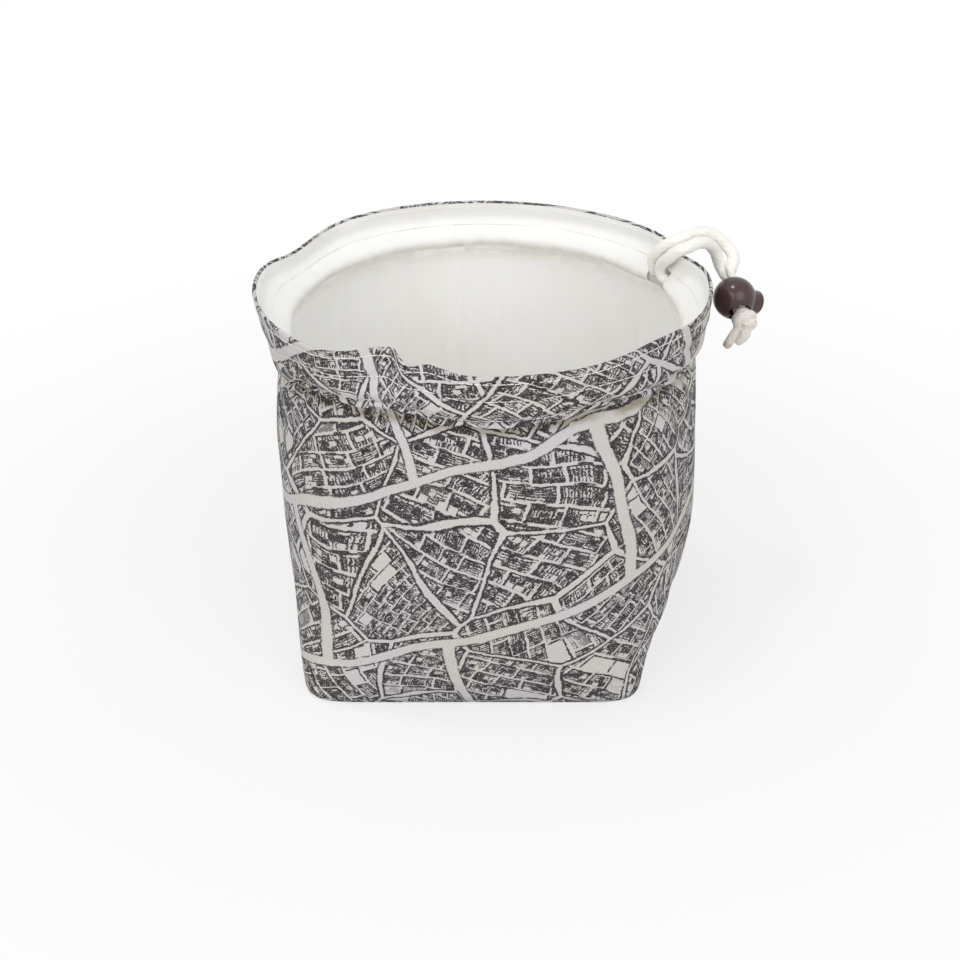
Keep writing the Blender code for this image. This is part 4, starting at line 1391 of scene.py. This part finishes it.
class POUCH_OT_cord_lock(bpy.types.Operator):
    """Makes the ball, its button and the spring between them"""

    bl_idname = "pouch.cord_lock"
    bl_label = "Cord lock"

    def execute(self, context):
        plastic = moulded_plastic()
        self.ball(plastic)
        self.button(plastic)
        self.spring(spring_steel())
        return {"FINISHED"}

    def ball(self, mat):
        turns = [math.radians(180 * k / 48) for k in range(49)]
        outline = [(BALL_RADIUS * math.sin(t), BALL_RADIUS * math.cos(t)) for t in turns]
        ball = turned("cord_lock_ball_moulded", outline, 96)
        hole, mouth = CORD_HOLE / 2, CORD_HOLE_MOUTH / 2
        edge = math.sqrt(BALL_RADIUS**2 - mouth**2)
        chamfer, far = mouth - hole, 1.3 * BALL_RADIUS
        wide = mouth + far - edge
        side = [(wide, far), (hole, edge - chamfer), (hole, chamfer - edge), (wide, -far)]
        cord_hole = turned("cord_hole", [(0, far), *side, (0, -far)])
        bore, well = BUTTON_DIAMETER / 2 + BUTTON_FIT, SPRING_WELL / 2
        steps = [(bore, far), (bore, BUTTON_BORE_END), (well, BUTTON_BORE_END), (well, SPRING_WELL_END)]
        button_bore = turned("button_bore", [(0, far), *steps, (0, SPRING_WELL_END)])
        button_bore.data.transform(QUARTER)
        carve(ball, [cord_hole, button_bore])
        seat_in_lock(ball, mat)
        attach(ball, "cord_lock")
        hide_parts("cord_lock_ball")

    def button(self, mat):
        radius, end = BUTTON_DIAMETER / 2, BALL_RADIUS + BUTTON_PROUD
        edge = 0.12 * BUTTON_DIAMETER
        rounding = [math.radians(90 * k / 6) for k in range(7)]
        outline = [(out * radius, end - low * BUTTON_DISH) for out, low in ((0, 1), (0.35, 0.85), (0.62, 0.4))]
        outline += [(radius - edge + edge * math.sin(t), end - edge + edge * math.cos(t)) for t in rounding]
        well, pocket = SPRING_WELL / 2, BUTTON_INNER_END + SPRING_POCKET
        outline += [(radius, BUTTON_INNER_END), (well, BUTTON_INNER_END), (well, pocket), (0, pocket)]
        button = turned("cord_lock_button_moulded", outline)
        button.data.transform(QUARTER)
        block = bmesh.new()
        bmesh.ops.create_cube(block, size=1.0)
        bmesh.ops.scale(block, vec=(SLOT_LENGTH, CORD_HOLE, 1.5 * BUTTON_DIAMETER), verts=block.verts)
        bmesh.ops.translate(block, vec=(SLOT_CENTRE, 0, 0), verts=block.verts)
        carve(button, [object_from("slot", block)])
        seat_in_lock(button, mat)
        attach(button, "button")
        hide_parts("cord_lock_button")

    def spring(self, mat):
        start = SPRING_WELL_END + SPRING_GAP + SPRING_WIRE / 2
        end = BUTTON_INNER_END + SPRING_POCKET - SPRING_GAP - SPRING_WIRE / 2
        radius = (SPRING_DIAMETER - SPRING_WIRE) / 2
        points = []
        for share in np.linspace(0, 1, 24 * SPRING_TURNS + 1):
            turn = 2 * math.pi * SPRING_TURNS * share
            local = Vector((start + (end - start) * share, radius * math.cos(turn), radius * math.sin(turn)))
            points.append(tuple(LOCK_FRAME @ local))
        radii = np.full(len(points), SPRING_WIRE / 2)
        wire = cord_mesh("cord_lock_spring_wire", np.array(points), radii, mat, sides=10)
        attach(wire, "cord_lock")
        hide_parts("cord_lock_spring")
        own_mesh(wire)


class POUCH_PT_panel(bpy.types.Panel):
    """The pouch's sizes, colours and pieces"""

    bl_idname = "POUCH_PT_panel"
    bl_label = "Drawstring pouch"
    bl_space_type = "VIEW_3D"
    bl_region_type = "UI"
    bl_category = "Pouch"

    def draw(self, context):
        layout = self.layout
        for settings in (context.scene.pouch_sizes, context.scene.pouch_colours, context.scene.pouch_stage):
            box = layout.box()
            for name in type(settings).__annotations__:
                box.prop(settings, name)
        for operator in OPERATORS:
            layout.operator(operator.bl_idname)


OPERATORS = (
    POUCH_OT_stage,
    POUCH_OT_drawstring,
    POUCH_OT_printed_cloth,
    POUCH_OT_lining,
    POUCH_OT_topstitching,
    POUCH_OT_cord_lock,
)
CLASSES = (PouchSizes, PouchColours, StageLook, *OPERATORS, POUCH_PT_panel)


def register():
    for cls in CLASSES:
        bpy.utils.register_class(cls)
    bpy.types.Scene.pouch_sizes = bpy.props.PointerProperty(type=PouchSizes)
    bpy.types.Scene.pouch_colours = bpy.props.PointerProperty(type=PouchColours)
    bpy.types.Scene.pouch_stage = bpy.props.PointerProperty(type=StageLook)


def unregister():
    del bpy.types.Scene.pouch_stage
    del bpy.types.Scene.pouch_colours
    del bpy.types.Scene.pouch_sizes
    for cls in reversed(CLASSES):
        bpy.utils.unregister_class(cls)


def main():
    register()
    bpy.ops.pouch.stage()
    bpy.ops.pouch.drawstring()
    bpy.ops.pouch.printed_cloth()
    bpy.ops.pouch.lining()
    bpy.ops.pouch.topstitching()
    bpy.ops.pouch.cord_lock()


if __name__ == "__main__":
    main()
